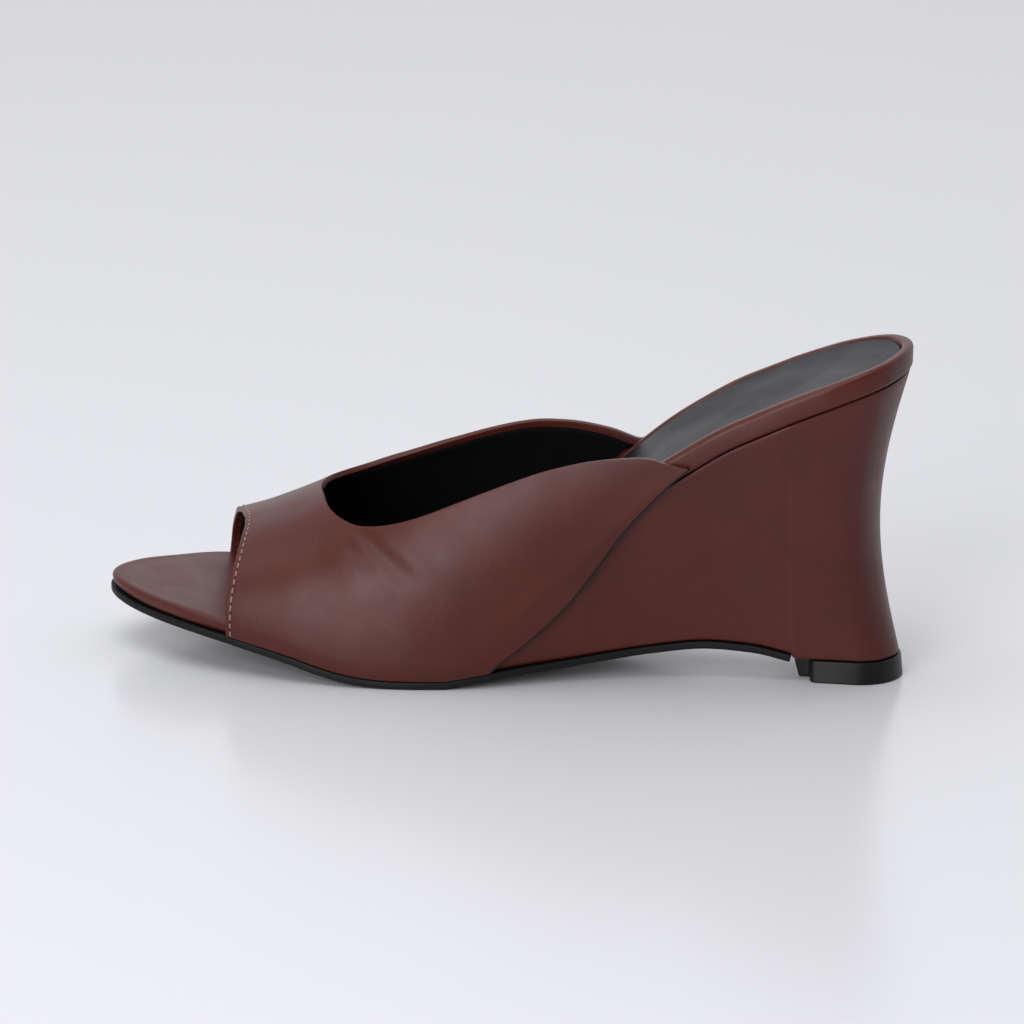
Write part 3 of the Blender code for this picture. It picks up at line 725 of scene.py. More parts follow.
def ramp(tree, fac, low, high, colour_low, colour_high):
    """A soft step between two colours."""
    made = add(tree, "ValToRGB", None, Fac=fac)
    made.color_ramp.elements[0].position = low
    made.color_ramp.elements[0].color = colour_low
    made.color_ramp.elements[1].position = high
    made.color_ramp.elements[1].color = colour_high
    return made.outputs["Color"]


def per_metre(size_mm):
    """Texture scale whose features are about this many millimetres apart."""
    return 1.0 / (size_mm * MM)


# %% [markdown]
# # Brown calf, drum-dyed and lightly finished
# The vamp, the wedge cover and the footbed's wrap are one smooth calf leather. It was dyed through and then
# sprayed with a thin clear finish, so its gloss is soft and broad, and the colour varies a little from place to
# place. Under the finish there are fine hair pores and a net of tiny creases. Real pores are about 0.15 mm apart, too
# fine for this picture, so they are drawn 0.5 mm apart. Bump moves only the shading, which is right for something
# this shallow.

# %% Brown calf
CALF_BASE = "4c1c15"
CALF_LIGHT = "56221a"
CALF_DARK = "3e150f"


def calf(name, stitched=False):
    material, tree, shader = new_material(
        name, Metallic=0.0, IOR=1.5, Specular_IOR_Level=0.31, Coat_Weight=0.02, Coat_Roughness=0.4
    )
    place = add(tree, "TexCoord").outputs["Object"]
    cloud = add(tree, "TexNoise", None, Vector=place, Scale=per_metre(26), Detail=3.0, Roughness=0.5)
    tone = ramp(tree, cloud.outputs["Fac"], 0.35, 0.68, linear(CALF_DARK), linear(CALF_LIGHT))
    even = add(tree, "Mix", {"data_type": "RGBA"}, Factor=0.3, i6=linear(CALF_BASE), i7=tone)
    colour = even.outputs[2]
    pores = add(tree, "TexNoise", None, Vector=place, Scale=per_metre(0.55), Detail=2.0, Roughness=0.6)
    creases = add(
        tree, "TexVoronoi", {"feature": "DISTANCE_TO_EDGE"}, Vector=place, Scale=per_metre(1.1), Randomness=1.0
    )
    net = add(tree, "MapRange", None, Value=creases.outputs["Distance"], i1=0.0, i2=0.12, i3=0.0, i4=1.0)
    relief = add(tree, "Math", {"operation": "MULTIPLY_ADD"}, i0=net.outputs["Result"], i1=0.35, i2=pores.outputs["Fac"])
    speck = add(tree, "MapRange", None, Value=pores.outputs["Fac"], i1=0.3, i2=0.7, i3=0.90, i4=1.08)
    tinted = add(tree, "HueSaturation", None, Color=colour, Value=speck.outputs["Result"])
    colour = tinted.outputs["Color"]
    height = relief.outputs["Value"]
    gloss_cloud = add(tree, "TexNoise", None, Vector=place, Scale=per_metre(9), Detail=2.0)
    rough = add(tree, "MapRange", None, Value=gloss_cloud.outputs["Fac"], i1=0.3, i2=0.7, i3=0.37, i4=0.45)
    if stitched:
        across = add(tree, "Attribute", {"attribute_name": "peep_across"}).outputs["Fac"]
        run = add(tree, "Attribute", {"attribute_name": "peep_run"}).outputs["Fac"]
        beside = add(tree, "Math", {"operation": "SUBTRACT"}, i0=across, i1=STITCH_INSET)
        off_row = add(tree, "Math", {"operation": "ABSOLUTE"}, i0=beside.outputs["Value"])
        sunk = add(
            tree, "MapRange", {"interpolation_type": "SMOOTHSTEP"},
            Value=off_row.outputs["Value"], i1=0.0, i2=0.45 * MM, i3=0.0, i4=1.0,
        )
        along_hole = add(tree, "Math", {"operation": "PINGPONG"}, i0=run, i1=0.5 * STITCH_PITCH)
        gap = add(tree, "Math", {"operation": "MULTIPLY"}, i0=along_hole.outputs["Value"], i1=along_hole.outputs["Value"])
        side = add(tree, "Math", {"operation": "MULTIPLY_ADD"}, i0=beside.outputs["Value"], i1=beside.outputs["Value"],
                   i2=gap.outputs["Value"])
        reach = add(tree, "Math", {"operation": "SQRT"}, i0=side.outputs["Value"])
        hole = add(tree, "MapRange", {"interpolation_type": "SMOOTHSTEP"},
                   Value=reach.outputs["Value"], i1=0.22 * MM, i2=0.42 * MM, i3=0.0, i4=1.0)
        # Painted shade: each needle hole is painted near black, standing for the shade inside the hole.
        hole_shaded = add(tree, "Mix", {"data_type": "RGBA"}, Factor=hole.outputs["Result"], i6=linear("120806"), i7=colour)
        colour = hole_shaded.outputs[2]
        lowered = add(tree, "Math", {"operation": "MULTIPLY"}, i0=sunk.outputs["Result"], i1=hole.outputs["Result"])
        # Painted shade: a dark band is painted on the vamp along its seam on the wedge, standing for the shade in the
        # groove there.
        from_seam = add(tree, "Attribute", {"attribute_name": "seam_across"}).outputs["Fac"]
        past_seam = add(tree, "MapRange", {"interpolation_type": "SMOOTHSTEP"},
                        Value=from_seam, i1=0.5 * SEAM_SHADE_WIDTH, i2=SEAM_SHADE_WIDTH, i3=0.0, i4=1.0)
        seam_shaded = add(tree, "Mix", {"data_type": "RGBA"}, Factor=past_seam.outputs["Result"], i6=linear("0c0403"), i7=colour)
        colour = seam_shaded.outputs[2]
        deep = add(tree, "Math", {"operation": "MULTIPLY_ADD"}, i0=lowered.outputs["Value"], i1=3.0, i2=height)
        height = deep.outputs["Value"]
    bump = add(tree, "Bump", None, Strength=0.22, Distance=0.10 * MM, Height=height)
    tree.links.new(colour, shader.inputs["Base Color"])
    tree.links.new(rough.outputs["Result"], shader.inputs["Roughness"])
    tree.links.new(bump.outputs["Normal"], shader.inputs["Normal"])
    return material


STITCH_INSET = 1.4 * MM
STITCH_PITCH = 2.5 * MM
# Width of the band of painted shade along the vamp's seam on the wedge.
SEAM_SHADE_WIDTH = 0.9 * MM
vamp_calf = calf("calf_dyed_finished_vamp", stitched=True)
cover_calf = calf("calf_dyed_finished_cover")
print("leather:", vamp_calf.name, cover_calf.name)

# %% [markdown]
# # Black sock leather, lining, rubber and moulded plastic
# The sock is a thin black leather with a printed fine grain: satin, with broad soft reflections. The vamp is lined
# with a napped black microfibre, which scatters light and shows no reflection. The sole is calendered sheet rubber,
# matt, with a faint pebble. The top piece under the heel is injection-moulded polyurethane, a little glossier.

# %% Black materials and thread
def black(name, code, grain_mm, depth_mm, strength, rough_low, rough_high, **constants):
    """A black surface: one colour with slight clouds, a grain of the given size, and a varied gloss."""
    material, tree, shader = new_material(name, Metallic=0.0, **constants)
    place = add(tree, "TexCoord").outputs["Object"]
    cloud = add(tree, "TexNoise", None, Vector=place, Scale=per_metre(14), Detail=3.0)
    tone = add(tree, "MapRange", None, Value=cloud.outputs["Fac"], i1=0.3, i2=0.7, i3=0.85, i4=1.15)
    tinted = add(tree, "HueSaturation", None, Color=linear(code), Value=tone.outputs["Result"])
    grain = add(tree, "TexVoronoi", {"feature": "SMOOTH_F1"}, Vector=place, Scale=per_metre(grain_mm), Smoothness=0.5)
    fine = add(tree, "TexNoise", None, Vector=place, Scale=per_metre(grain_mm * 0.6), Detail=2.0)
    height = add(tree, "Math", {"operation": "ADD"}, i0=grain.outputs["Distance"], i1=fine.outputs["Fac"])
    rough = add(tree, "MapRange", None, Value=cloud.outputs["Fac"], i1=0.3, i2=0.7, i3=rough_low, i4=rough_high)
    bump = add(tree, "Bump", None, Strength=strength, Distance=depth_mm * MM, Height=height.outputs["Value"])
    tree.links.new(tinted.outputs["Color"], shader.inputs["Base Color"])
    tree.links.new(rough.outputs["Result"], shader.inputs["Roughness"])
    tree.links.new(bump.outputs["Normal"], shader.inputs["Normal"])
    return material


sock_leather = black("sock_leather_satin", "12131b", 0.8, 0.06, 0.2, 0.40, 0.50, IOR=1.5, Specular_IOR_Level=0.15)
lining_nap = black("lining_microfibre_napped", "030304", 0.7, 0.15, 0.6, 0.85, 0.95, IOR=1.45, Specular_IOR_Level=0.15)
sheet_rubber = black("rubber_calendered_sheet", "08080b", 0.9, 0.12, 0.4, 0.5, 0.62, IOR=1.52, Specular_IOR_Level=0.25)
moulded_pu = black("polyurethane_moulded", "08080b", 0.6, 0.05, 0.2, 0.36, 0.48, IOR=1.5, Specular_IOR_Level=0.3)

thread, thread_tree, thread_shader = new_material("thread_bonded_polyester", Metallic=0.0, IOR=1.5, Roughness=0.6)
thread_place = add(thread_tree, "TexCoord").outputs["Object"]
thread_ply = add(
    thread_tree, "TexWave", {"wave_type": "BANDS", "bands_direction": "DIAGONAL"},
    Vector=thread_place, Scale=per_metre(0.9), Distortion=1.0,
)
thread_tone = ramp(thread_tree, thread_ply.outputs["Fac"], 0.2, 0.8, linear("7d5a50"), linear("ab8677"))
thread_bump = add(thread_tree, "Bump", None, Strength=0.4, Distance=0.05 * MM, Height=thread_ply.outputs["Fac"])
thread_tree.links.new(thread_tone, thread_shader.inputs["Base Color"])
thread_tree.links.new(thread_bump.outputs["Normal"], thread_shader.inputs["Normal"])
print("black materials:", sock_leather.name, lining_nap.name, sheet_rubber.name, moulded_pu.name)

# %% [markdown]
# # Sheet sole
# A sole like this is cut from 2 mm rubber sheet, glued on and trimmed flush. It rises at the toe and under the
# arch. It is lofted, with a softened bottom edge where the trimming knife was followed by a light buffing.

# %% Sheet sole
def plate(point, along, profile, columns, bottom, top):
    """One station of an even plate; profile lists (inset, share of the height) from underside to top."""
    edges = {}
    for side in (-1, 1):
        edges[side] = []
        for inset, share in profile:
            x, y = point(along, side, inset)
            low = bottom(x, y)
            edges[side].append((x, y, low + (top(x, y) - low) * share))
    return ring_of(edges, columns, bottom, top)


SOLE_EDGE = ((SOLE_ROUND, 0.0), (0.45 * SOLE_ROUND, 0.04), (0.12 * SOLE_ROUND, 0.14), (0.0, 0.28), (0.0, 0.86),
             (0.05 * MM, 0.95), (0.18 * MM, 1.0))
sole_rings = []
for along in stations((0.0, TREAD_FRONT, TREAD_BACK, SOLE_END), (54, 8, 54), True, False):
    sole_rings.append(plate(base_point, along, SOLE_EDGE, 14, outsole_underside, outsole_top))
sheet_sole = loft("sheet_sole", sole_rings, False, True, sheet_rubber)
stands_for(sheet_sole, "outsole")

# %% [markdown]
# # Footbed
# The insole board is wrapped in the vamp's leather, which is pulled round its edge and shows as the rand, the
# rounded band round the heel and the toe. Its top inside the edge is sunk by the sock's thickness. The profile of
# the edge goes round in small steps, because this is the edge that catches the light.

# %% Footbed wrap
def quarter(radius, steps, start):
    """Insets and heights of a rounded edge, as (inset, drop) pairs."""
    pairs = []
    for k in range(steps + 1):
        angle = 0.5 * math.pi * k / steps
        pairs.append((radius * (1 - math.cos(angle)), radius * (1 - math.sin(angle))))
    return pairs if start == "side" else list(reversed(pairs))


footbed_rings = []
for along in stations((0.0, SOCK_START, HOLLOW_START, 1.0), (64, 60, 64), True, True):
    build = footbed_build(along)
    profile = [(inset, drop / build) for inset, drop in quarter(FOOTBED_UNDERCUT, 4, "top")]
    profile += [(inset, 1 - drop / build) for inset, drop in quarter(FOOTBED_ROUND, 7, "side")]
    profile += [(FOOTBED_ROUND + 0.9 * MM, 1.0), (SOCK_MARGIN - GAP - 0.2 * MM, 1.0)]
    edges = {}
    for side in (-1, 1):
        edges[side] = []
        for inset, share in profile:
            x, y = footbed_point(along, side, inset)
            low = footbed_underside(x, y)
            z = low + (seat_height(x, y) - low) * share
            x, y = footbed_point(along, side, inset + feather(along, z))
            edges[side].append((x, y, z))
        x, y = footbed_point(along, side, SOCK_MARGIN - GAP)
        recess = (SOCK_THICKNESS + GAP) * ease(along, RECESS_START, RECESS_END)
        edges[side].append((x, y, seat_height(x, y) - 0.2 * recess))
        x, y = footbed_point(along, side, SOCK_MARGIN)
        edges[side].append((x, y, footbed_floor(x, y)))
    footbed_rings.append(ring_of(edges, 26, footbed_underside, footbed_floor))
footbed_wrap = loft("footbed_wrap", footbed_rings, False, False, cover_calf, 55)
stands_for(footbed_wrap, "footbed")

# %% [markdown]
# # Sock
# The sock is the thin leather that the foot stands on. It is skived thin at its edge and glued into the recess.
# Glued leather is never quite flat, so its top gets a wave of a tenth of a millimetre from a smooth noise.

# %% Sock
def sock_point(along, side, inset):
    return footbed_point(along, side, SOCK_MARGIN + 0.5 * GAP + inset)


def sock_bottom(x, y):
    return footbed_floor(x, y) + 0.1 * MM


def sock_top(x, y):
    wave = noise.noise(Vector((x, y, 0.0)) / (19 * MM)) + 0.5 * noise.noise(Vector((x, y, 0.3)) / (8 * MM))
    thick = (SOCK_THICKNESS + 0.15 * MM) * upright(along_of(x)) + 0.12 * MM * wave
    return sock_bottom(x, y) + thick


SOCK_EDGE = ((0.0, 0.0), (0.0, 0.55), (0.1 * MM, 0.8), (0.3 * MM, 0.95), (0.6 * MM, 1.0))
sock_rings = []
for along in stations((SOCK_START, HOLLOW_START, 1.0), (70, 60), False, True):
    sock_rings.append(plate(sock_point, along, SOCK_EDGE, 26, sock_bottom, sock_top))
sock = loft("sock_leaf", sock_rings, True, False, sock_leather)
stands_for(sock, "sock")

# %% [markdown]
# # Wedge cover
# The wedge is turned from cork or moulded, then covered with one piece of leather that is stretched over it, so
# its sides and back are smooth hollows. The cover turns in at the top and bottom with a small radius, and that makes
# the thin dark line under the rand. The loft's levels are closer together there.

# %% Wedge cover
WEDGE_TURN = 0.7 * MM
WEDGE_RISES = [0.0, 0.004, 0.012] + [0.012 + 0.976 * k / 44 for k in range(1, 44)] + [0.988, 0.996, 1.0]
wedge_rings = []
wedge_stops = (WEDGE_START, TREAD_BACK, HOLLOW_START, SOLE_END, WEDGE_STEP_END, 1.0)
for along in stations(wedge_stops, (10, 60, 12, 5, 56), False, True):
    middle_x, middle_y = 0.0, 0.0
    edges = {}
    for side in (-1, 1):
        edges[side] = []
        for share in WEDGE_RISES:
            x, y, z = wedge_side(along, side, share)
            edges[side].append([x, y, z])
        tall = edges[side][-1][2] - edges[side][0][2]
        end_x, end_y = footbed_point(along, side, WEDGE_REVEAL + WEDGE_TURN)
        out_x, out_y = footbed_point(along, side, WEDGE_REVEAL)
        for point in edges[side]:
            for reach in (point[2] - edges[side][0][2], edges[side][-1][2] - point[2]):
                if reach < WEDGE_TURN and tall > 4 * WEDGE_TURN:
                    bend = 1 - math.sqrt(max(1 - (1 - reach / WEDGE_TURN) ** 2, 0.0))
                    point[0] += (end_x - out_x) * bend
                    point[1] += (end_y - out_y) * bend
    wedge_rings.append(ring_of(edges, 14, wedge_underside, lambda x, y: footbed_underside(x, y) - GAP))
wedge_cover = loft("wedge_cover", wedge_rings, True, False, cover_calf, 60)
stands_for(wedge_cover, "wedge")

# %% [markdown]
# # Top piece
# The top piece is the moulded block that meets the ground under the heel. It flares a little towards the ground,
# and has a narrower tongue in front, under the end of the sheet sole. It is built from its outline, drawn at
# a few heights, and the edges are then bevelled as the mould's radius would leave them.

# %% Top piece
def tip_outline(flare, slope):
    half = 0.5 * HEEL_WIDTH - TIP_FLARE + flare
    front = HEEL_BREAST * SHOE_LENGTH
    tongue = 0.5 * TONGUE_WIDTH
    tongue_front = front - TONGUE_LENGTH + slope
    corner = 1.6 * MM
    outline = [(tongue_front, -tongue), (front - 0.8 * MM, -tongue), (front, -tongue - 0.6 * MM)]
    outline += [(front, -half + corner), (front + 0.3 * corner, -half + 0.3 * corner), (front + corner, -half)]
    for k in range(41):
        angle = math.pi * (k / 40 - 0.5)
        outline.append((front + TIP_LENGTH - 0.5 * HEEL_WIDTH + half * math.cos(angle), half * math.sin(angle)))
    outline += [(front + corner, half), (front + 0.3 * corner, half - 0.3 * corner), (front, half - corner)]
    outline += [(front, tongue + 0.6 * MM), (front - 0.8 * MM, tongue), (tongue_front, tongue)]
    return outline


tip_rings = []
for share in (0.0, 0.25, 0.5, 0.75, 1.0):
    flare = TIP_FLARE * (1.0 - 0.4 * share)
    slope = TONGUE_SLOPE * (1 - share)
    tip_rings.append([(x, tip_middle + y, TIP_HEIGHT * share) for x, y in tip_outline(flare, slope)])
top_piece = loft("top_piece", tip_rings, True, True, moulded_pu, 30)
softened = top_piece.modifiers.new("mould_radius", "BEVEL")
softened.width = 0.45 * MM
softened.segments = 3
softened.limit_method = "ANGLE"
softened.angle_limit = math.radians(35)
stands_for(top_piece, "heel_tip")

# %% [markdown]
# # Vamp
# The vamp is one piece of leather pulled over the last, so its skin is smooth and its shape is the last's. It is
# drawn on a map with two directions: along the shoe, and the length up the section from the sole. Four borders on
# that map, the sole edge, the toe opening, the topline and the seam on the wedge, are filled by a Coons patch, and
# each point of the patch is then looked up on the last. The creases under the throat are where the leather gives
# when a foot bends: soft troughs with a raised shoulder, placed on the same map.

# %% The last's skin as a table
SKIN_ALONG = np.linspace(0.10, 0.78, 171)
skin_table = {}
for side in (-1, 1):
    for k, along in enumerate(SKIN_ALONG):
        points = section(float(along), side)
        skin_table[side, k] = (points, running_length(points))


def skin(along, side, length):
    """The point of the vamp's outer skin at a share along and a length up the section."""
    at = (along - SKIN_ALONG[0]) / (SKIN_ALONG[1] - SKIN_ALONG[0])
    k = int(min(max(at, 0), len(SKIN_ALONG) - 2))
    near, far = [
        np.array([np.interp(length, lengths, points[:, a]) for a in range(3)])
        for points, lengths in (skin_table[side, k], skin_table[side, k + 1])
    ]
    return near + (far - near) * (at - k)


# %% Creases, in the shoe's own sizes
# side, start (share along, mm up), end, half width in mm, depth in mm (a ridge is negative)
CREASES = (
    (-1, (0.336, 41.5), (0.424, 27.0), 2.7, 0.55),
    (-1, (0.350, 44.0), (0.438, 31.0), 3.0, -0.28),
    (-1, (0.326, 37.5), (0.366, 30.5), 2.2, 0.34),
    (-1, (0.330, 40.5), (0.378, 31.5), 1.8, -0.22),
    (-1, (0.290, 30.0), (0.345, 18.0), 4.5, 0.16),
    (1, (0.330, 40.0), (0.420, 26.0), 2.8, 0.50),
    (1, (0.345, 43.0), (0.430, 30.0), 3.0, -0.25),
    (1, (0.300, 36.0), (0.360, 24.0), 3.6, 0.22),
)


def crease_depth(along, side, length):
    total = 0.0
    here = np.array([along * SHOE_LENGTH, length]) / MM
    for crease_side, start, end, width, depth in CREASES:
        if crease_side != side:
            continue
        first = np.array([start[0] * SHOE_LENGTH / MM, start[1]])
        line = np.array([end[0] * SHOE_LENGTH / MM, end[1]]) - first
        size = np.linalg.norm(line)
        share = float((here - first) @ line) / size**2
        off = abs(float(line[0] * (here - first)[1] - line[1] * (here - first)[0])) / size
        ends = math.exp(-((abs(share - 0.5) / 0.46) ** 4))
        total += depth * MM * math.exp(-((off / width) ** 2)) * ends
    return total


# %% The map's borders and the patch
VAMP_RIDGE, VAMP_TOP, VAMP_UP = 26, 120, 58
BOW_FADE = 3


def vamp_map(side, ridge_columns, topline_columns, rows):
    """The vamp half's points on the map, by column from the toe opening and by row from the sole."""
    topline = TOPLINE_LATERAL if side < 0 else TOPLINE_MEDIAL
    opening = column(TOE_OPENING, 1 if side < 0 else 2)
    throat, ear = topline[0][0], topline[-1][0]
    ridge = [(a, round_length(a, side, 1.0)) for a in np.linspace(opening(1.0), throat, ridge_columns + 1)]
    slowed = [math.sqrt((row[0] - throat) / (ear - throat)) for row in topline]
    way_round = smooth_curve(slowed, [row[1] for row in topline])
    edge = []
    for at in np.linspace(0.0, 1.0, 161):
        along = throat + (ear - throat) * at**2
        edge.append((along, round_length(along, side, way_round(at))))
    top = np.concatenate((ridge[:-1], evenly(edge, topline_columns)))
    up = np.linspace(0.0, 1.0, rows + 1)
    seam = column(SIDE_SEAM, 1)
    lean = ear - SIDE_SEAM[-1][1]
    rear = np.array([(seam(s) + lean * s, edge[-1][1] * s) for s in up])
    front = np.array([(opening(s), round_length(opening(s), side, 1.0) * s) for s in up])
    reached = (top[:, 0] - top[0, 0]) / (top[-1, 0] - top[0, 0])
    across = 0.5 * (reached + np.linspace(0.0, 1.0, len(top)))
    bottom = np.array([(front[0][0] + (rear[0][0] - front[0][0]) * u, 0.0) for u in across])
    grid = np.zeros((len(top), rows + 1, 2))
    for k, u in enumerate(across):
        for j, v in enumerate(up):
            front_bow = front[j] - (1 - v) * front[0] - v * front[-1]
            rear_bow = rear[j] - (1 - v) * rear[0] - v * rear[-1]
            grid[k, j] = (1 - v) * bottom[k] + v * top[k]
            grid[k, j] += (1 - u) ** BOW_FADE * front_bow + u**BOW_FADE * rear_bow
    return grid


def on_last(grid, side, sink=0.0):
    """The map's points on the last, creased, and moved inwards by sink along the skin's normal."""
    points = np.array([[skin(a, side, length) for a, length in line] for line in grid])
    u_way = np.gradient(points, axis=0)
    v_way = np.gradient(points, axis=1)
    normal = np.cross(u_way, v_way) * -side
    normal /= np.maximum(np.linalg.norm(normal, axis=2, keepdims=True), 1e-12)
    depth = np.array([[crease_depth(a, side, length) for a, length in line] for line in grid])
    return points - normal * (depth + sink)[..., None]


def strip_faces(columns, rows, start, flip):
    faces = []
    for k in range(columns - 1):
        for j in range(rows - 1):
            a = start + k * rows + j
            face = (a, a + rows, a + rows + 1, a + 1)
            faces.append(tuple(reversed(face)) if flip else face)
    return faces


# %% Vamp skin with its wall
vamp_points, vamp_faces, peep_across, peep_run, seam_across = [], [], [], [], []
vamp_maps, vamp_skins = {}, {}
for side in (-1, 1):
    grid = vamp_map(side, VAMP_RIDGE, VAMP_TOP, VAMP_UP)
    points = on_last(grid, side)
    if side > 0:
        points[: VAMP_RIDGE + 1, -1] = vamp_skins[-1][: VAMP_RIDGE + 1, -1]
    vamp_maps[side], vamp_skins[side] = grid, points
    vamp_faces += strip_faces(points.shape[0], points.shape[1], len(vamp_points), side > 0)
    vamp_points += [tuple(p) for p in points.reshape(-1, 3)]
    from_edge = np.concatenate((np.zeros((1, VAMP_UP + 1)), np.cumsum(np.linalg.norm(np.diff(points, axis=0), axis=2), axis=0)))
    run = running_length(points[0])
    stitches = round(run[-1] / STITCH_PITCH)
    run_even = run / run[-1] * stitches * STITCH_PITCH
    peep_across += list(from_edge.reshape(-1))
    seam_across += list((from_edge[-1] - from_edge).reshape(-1))
    peep_run += list(np.tile(run_even, points.shape[0]))

vamp_mesh = bpy.data.meshes.new("vamp")
vamp_mesh.from_pydata([(x + MOVE_X, y + MOVE_Y, z) for x, y, z in vamp_points], [], vamp_faces)
for name, values in (("peep_across", peep_across), ("peep_run", peep_run), ("seam_across", seam_across)):
    vamp_mesh.attributes.new(name, "FLOAT", "POINT").data.foreach_set("value", values)
builder = bmesh.new()
builder.from_mesh(vamp_mesh)
bmesh.ops.remove_doubles(builder, verts=builder.verts, dist=0.02 * MM)
builder.to_mesh(vamp_mesh)
builder.free()
vamp_mesh.materials.append(vamp_calf)
vamp_mesh.shade_smooth()
vamp = bpy.data.objects.new("vamp", vamp_mesh)
bpy.context.scene.collection.objects.link(vamp)
wall = vamp.modifiers.new("wall", "SOLIDIFY")
wall.thickness = WALL
wall.offset = -1.0
wall.use_quality_normals = True
folded = vamp.modifiers.new("folded_edge", "BEVEL")
folded.width = 0.5 * MM
folded.segments = 3
folded.limit_method = "ANGLE"
folded.angle_limit = math.radians(55)
stands_for(vamp, "upper")
print("vamp:", len(vamp_mesh.polygons), "faces before its wall")

# %% [markdown]
# # Lining
# The edge of the vamp is folded over to the inside, and the black lining is glued in below the fold. So a narrow
# brown rim shows inside the topline, and then black. The lining is cut from the same map, 2.3 mm in from the
# topline and 1.6 mm in from the toe opening, and ends at the footbed.

# %% Lining
LINING_RIM, LINING_FRONT, LINING_SEAT = 2.3 * MM, 1.6 * MM, 0.6 * MM
LINING_ROWS = 30


def lining_lines(side):
    """The map's columns cut down to what the lining covers."""
    grid, points = vamp_maps[side], vamp_skins[side]
    from_edge = running_length(points[:, VAMP_UP // 2])
    lines = []
    for k in range(points.shape[0]):
        if from_edge[k] < LINING_FRONT:
            continue
        lengths = running_length(points[k])
        seat = [round_length(float(a), side, 0.0) for a in grid[k, ::6, 0]]
        over_seat = grid[k, :, 1] - np.interp(np.arange(VAMP_UP + 1), np.arange(0, VAMP_UP + 1, 6), seat[: len(range(0, VAMP_UP + 1, 6))])
        start = float(np.interp(LINING_SEAT, over_seat, lengths))
        end = lengths[-1] - (LINING_RIM if k > VAMP_RIDGE else 0.0)
        if k > VAMP_RIDGE and end - start < 1.0 * MM:
            break
        wanted = np.linspace(start, end, LINING_ROWS + 1)
        lines.append(np.stack([np.interp(wanted, lengths, grid[k, :, a]) for a in range(2)], axis=1))
    return np.array(lines)


lining_points, lining_faces = [], []
for side in (-1, 1):
    inner = on_last(lining_lines(side), side, WALL + 0.03 * MM)
    lining_faces += strip_faces(inner.shape[0], inner.shape[1], len(lining_points), side > 0)
    lining_points += [tuple(p) for p in inner.reshape(-1, 3)]
lining_mesh = bpy.data.meshes.new("vamp_lining")
lining_mesh.from_pydata([(x + MOVE_X, y + MOVE_Y, z) for x, y, z in lining_points], [], lining_faces)
builder = bmesh.new()
builder.from_mesh(lining_mesh)
bmesh.ops.remove_doubles(builder, verts=builder.verts, dist=0.02 * MM)
builder.to_mesh(lining_mesh)
builder.free()
lining_mesh.materials.append(lining_nap)
lining_mesh.shade_smooth()
lining = bpy.data.objects.new("vamp_lining", lining_mesh)
bpy.context.scene.collection.objects.link(lining)
lining_wall = lining.modifiers.new("wall", "SOLIDIFY")
lining_wall.thickness = 0.45 * MM
lining_wall.offset = -1.0
stands_for(lining, None)
print("lining:", len(lining_mesh.polygons), "faces before its wall")

# %% [markdown]
# # Stitches round the toe opening
# One row of lockstitch holds the folded edge of the toe opening. Each stitch is a short length of thread that
# rises from one needle hole, lies on the leather and dives into the next. It is a thin tube bent along the skin, and
# the holes and the groove that the thread pulls are in the leather's own material, on the same pitch. The holes get
# painted shade.

# %% Peep stitching
THREAD_RADIUS = 0.23 * MM
stitch_points, stitch_faces = [], []


def add_stitch(start, end, normal):
    way = end - start
    size = np.linalg.norm(way)
    way = way / size
    across = np.cross(normal, way)
    rings, sides = 9, 8
    base = len(stitch_points)
    for r in range(rings + 1):
        share = r / rings
        lift = math.sin(math.pi * share)
        centre = start + way * size * share + normal * (0.34 * MM * lift**0.6 - 0.26 * MM)
        radius = THREAD_RADIUS * (0.35 + 0.65 * min(1.0, 2.2 * lift))
        for s in range(sides):
            angle = 2 * math.pi * s / sides
            point = centre + (across * math.cos(angle) + normal * math.sin(angle) * 0.85) * radius
            stitch_points.append(tuple(point))
    for r in range(rings):
        for s in range(sides):
            t = (s + 1) % sides
            a, b = base + r * sides, base + (r + 1) * sides
            stitch_faces.append((a + s, a + t, b + t, b + s))
    stitch_faces.append(tuple(reversed(range(base, base + sides))))
    stitch_faces.append(tuple(range(base + rings * sides, base + (rings + 1) * sides)))


for side in (-1, 1):
    points = vamp_skins[side]
    from_edge = np.cumsum(np.linalg.norm(np.diff(points, axis=0), axis=2), axis=0)
    row, out = [], []
    for j in range(VAMP_UP + 1):
        spread = np.concatenate(([0.0], from_edge[:, j]))
        row.append([np.interp(STITCH_INSET, spread, points[:, j, a]) for a in range(3)])
        out.append(np.cross(points[3, j] - points[0, j], points[2, min(j + 1, VAMP_UP)] - points[2, max(j - 1, 0)]) * -side)
    row, out = np.array(row), np.array(out)
    run = running_length(points[0])
    stitches = round(run[-1] / STITCH_PITCH)
    run = run / run[-1] * stitches
    for n in range(stitches):
        first, last = [np.array([np.interp(n + s, run, row[:, a]) for a in range(3)]) for s in (0.14, 0.86)]
        normal = np.array([np.interp(n + 0.5, run, out[:, a]) for a in range(3)])
        add_stitch(first, last, normal / np.linalg.norm(normal))
stitching = add_piece("peep_stitching", stitch_points, stitch_faces, thread)
stands_for(stitching, None)

# %% [markdown]
# # Floor, light and camera
# The shoe stands on a pale, faintly glossy table that runs on as its own background. The light is a studio's: one very
# large soft light overhead, which puts the broad sheen on what faces up, and an even light from all round. The
# camera stands at the photograph's angle, 9 degrees towards the heel and 17 degrees up, with a long lens.

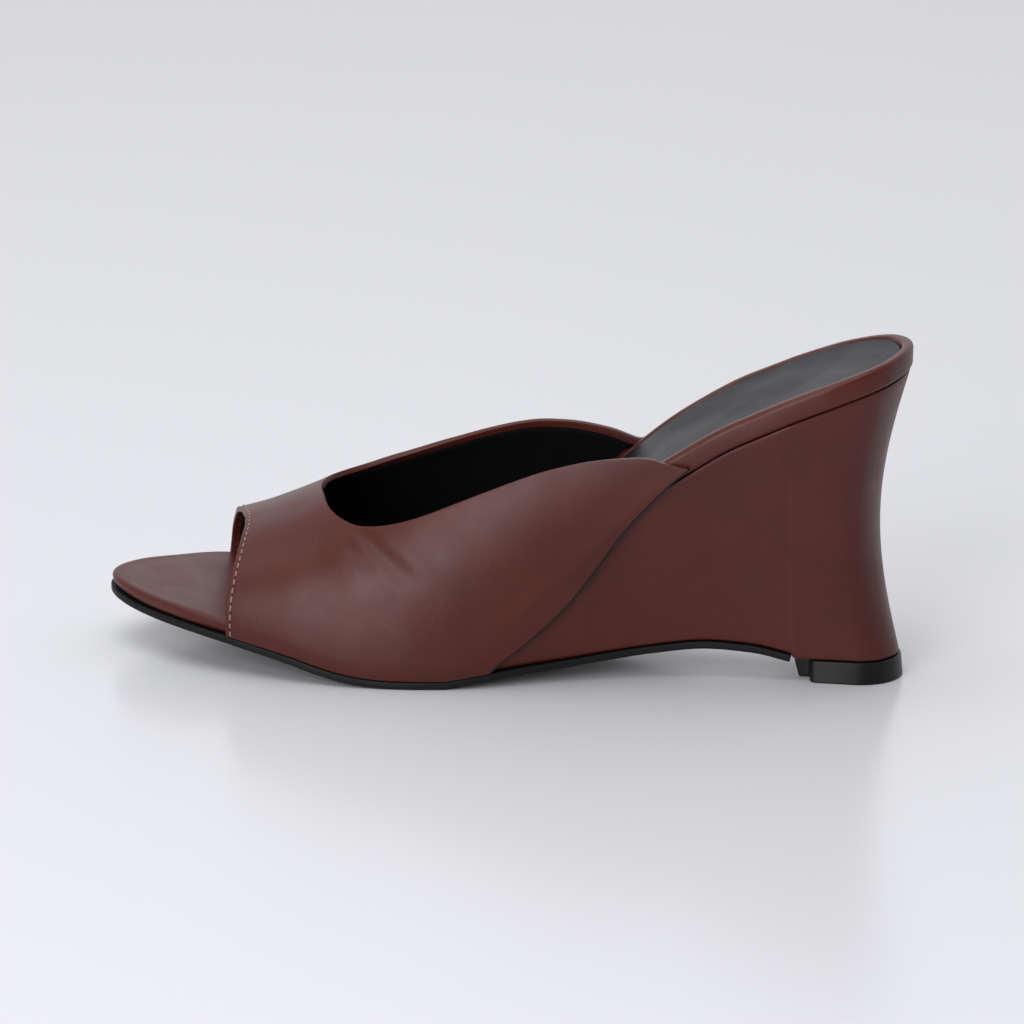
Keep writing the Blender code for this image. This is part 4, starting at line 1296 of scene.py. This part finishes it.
# %% Floor
floor_mesh = bpy.data.meshes.new("floor")
floor_mesh.from_pydata([(-9, -9, 0), (9, -9, 0), (9, 9, 0), (-9, 9, 0)], [], [(0, 1, 2, 3)])
floor_paint, floor_tree, floor_shader = new_material("floor_pale_lacquer", Metallic=0.0, IOR=1.45)
floor_place = add(floor_tree, "TexCoord").outputs["Object"]
floor_cloud = add(floor_tree, "TexNoise", None, Vector=floor_place, Scale=3.0, Detail=2.0)
floor_rough = add(floor_tree, "MapRange", None, Value=floor_cloud.outputs["Fac"], i3=0.20, i4=0.26)
floor_tree.links.new(floor_rough.outputs["Result"], floor_shader.inputs["Roughness"])
floor_shader.inputs["Base Color"].default_value = linear("d7d8dc")
floor_mesh.materials.append(floor_paint)
floor = bpy.data.objects.new("floor", floor_mesh)
bpy.context.scene.collection.objects.link(floor)

# %% Light
FRONT_SKY, BACK_SKY = 0.08, 1.12
world = bpy.data.worlds.new("studio")
bpy.context.scene.world = world
world.use_nodes = True
sky = world.node_tree
way = add(sky, "SeparateXYZ", None, Vector=add(sky, "TexCoord").outputs["Generated"])
back_bright = add(sky, "MapRange", None, Value=way.outputs["Y"], i1=-0.7, i2=0.7, i3=FRONT_SKY, i4=BACK_SKY)
sky.nodes["Background"].inputs["Color"].default_value = linear("f2f2f5")
sky.links.new(back_bright.outputs["Result"], sky.nodes["Background"].inputs["Strength"])


def soft_light(name, place, target, size, power, code):
    lamp = bpy.data.lights.new(name, "AREA")
    lamp.shape = "RECTANGLE"
    lamp.size, lamp.size_y = size
    lamp.energy = power
    lamp.color = linear(code)[:3]
    holder = bpy.data.objects.new(name, lamp)
    holder.location = place
    holder.rotation_euler = (Vector(target) - Vector(place)).to_track_quat("-Z", "Y").to_euler()
    bpy.context.scene.collection.objects.link(holder)
    return holder


soft_light("front_softbox", (-0.47, -1.45, 0.58), (0, 0, 0.05), (0.85, 1.2), 17.5, "ffffff")
soft_light("overhead_softbox", (-0.3, -0.35, 1.55), (0, 0, 0.03), (1.6, 1.3), 13.0, "ffffff")

# %% Camera
CAMERA_AZIMUTH, CAMERA_ELEVATION, CAMERA_DISTANCE = math.radians(9.3), math.radians(16.8), 1.2
PIXEL_SIZE = 0.28 * MM
LOOK_AT = Vector((2.2 * MM, MOVE_Y, 40.8 * MM))
back = Vector((
    math.sin(CAMERA_AZIMUTH) * math.cos(CAMERA_ELEVATION),
    -math.cos(CAMERA_AZIMUTH) * math.cos(CAMERA_ELEVATION),
    math.sin(CAMERA_ELEVATION),
))
camera_data = bpy.data.cameras.new("camera")
camera_data.sensor_width = 36.0
camera_data.lens = 36.0 * CAMERA_DISTANCE / PIXEL_SIZE / 1024
camera_data.clip_start = 0.01
camera_data.clip_end = 50.0
camera = bpy.data.objects.new("camera", camera_data)
camera.location = LOOK_AT + back * CAMERA_DISTANCE
camera.rotation_euler = (-back).to_track_quat("-Z", "Y").to_euler()
bpy.context.scene.collection.objects.link(camera)
bpy.context.scene.camera = camera
bpy.context.scene.view_settings.view_transform = "Standard"
print("camera lens", round(camera_data.lens, 1), "mm")
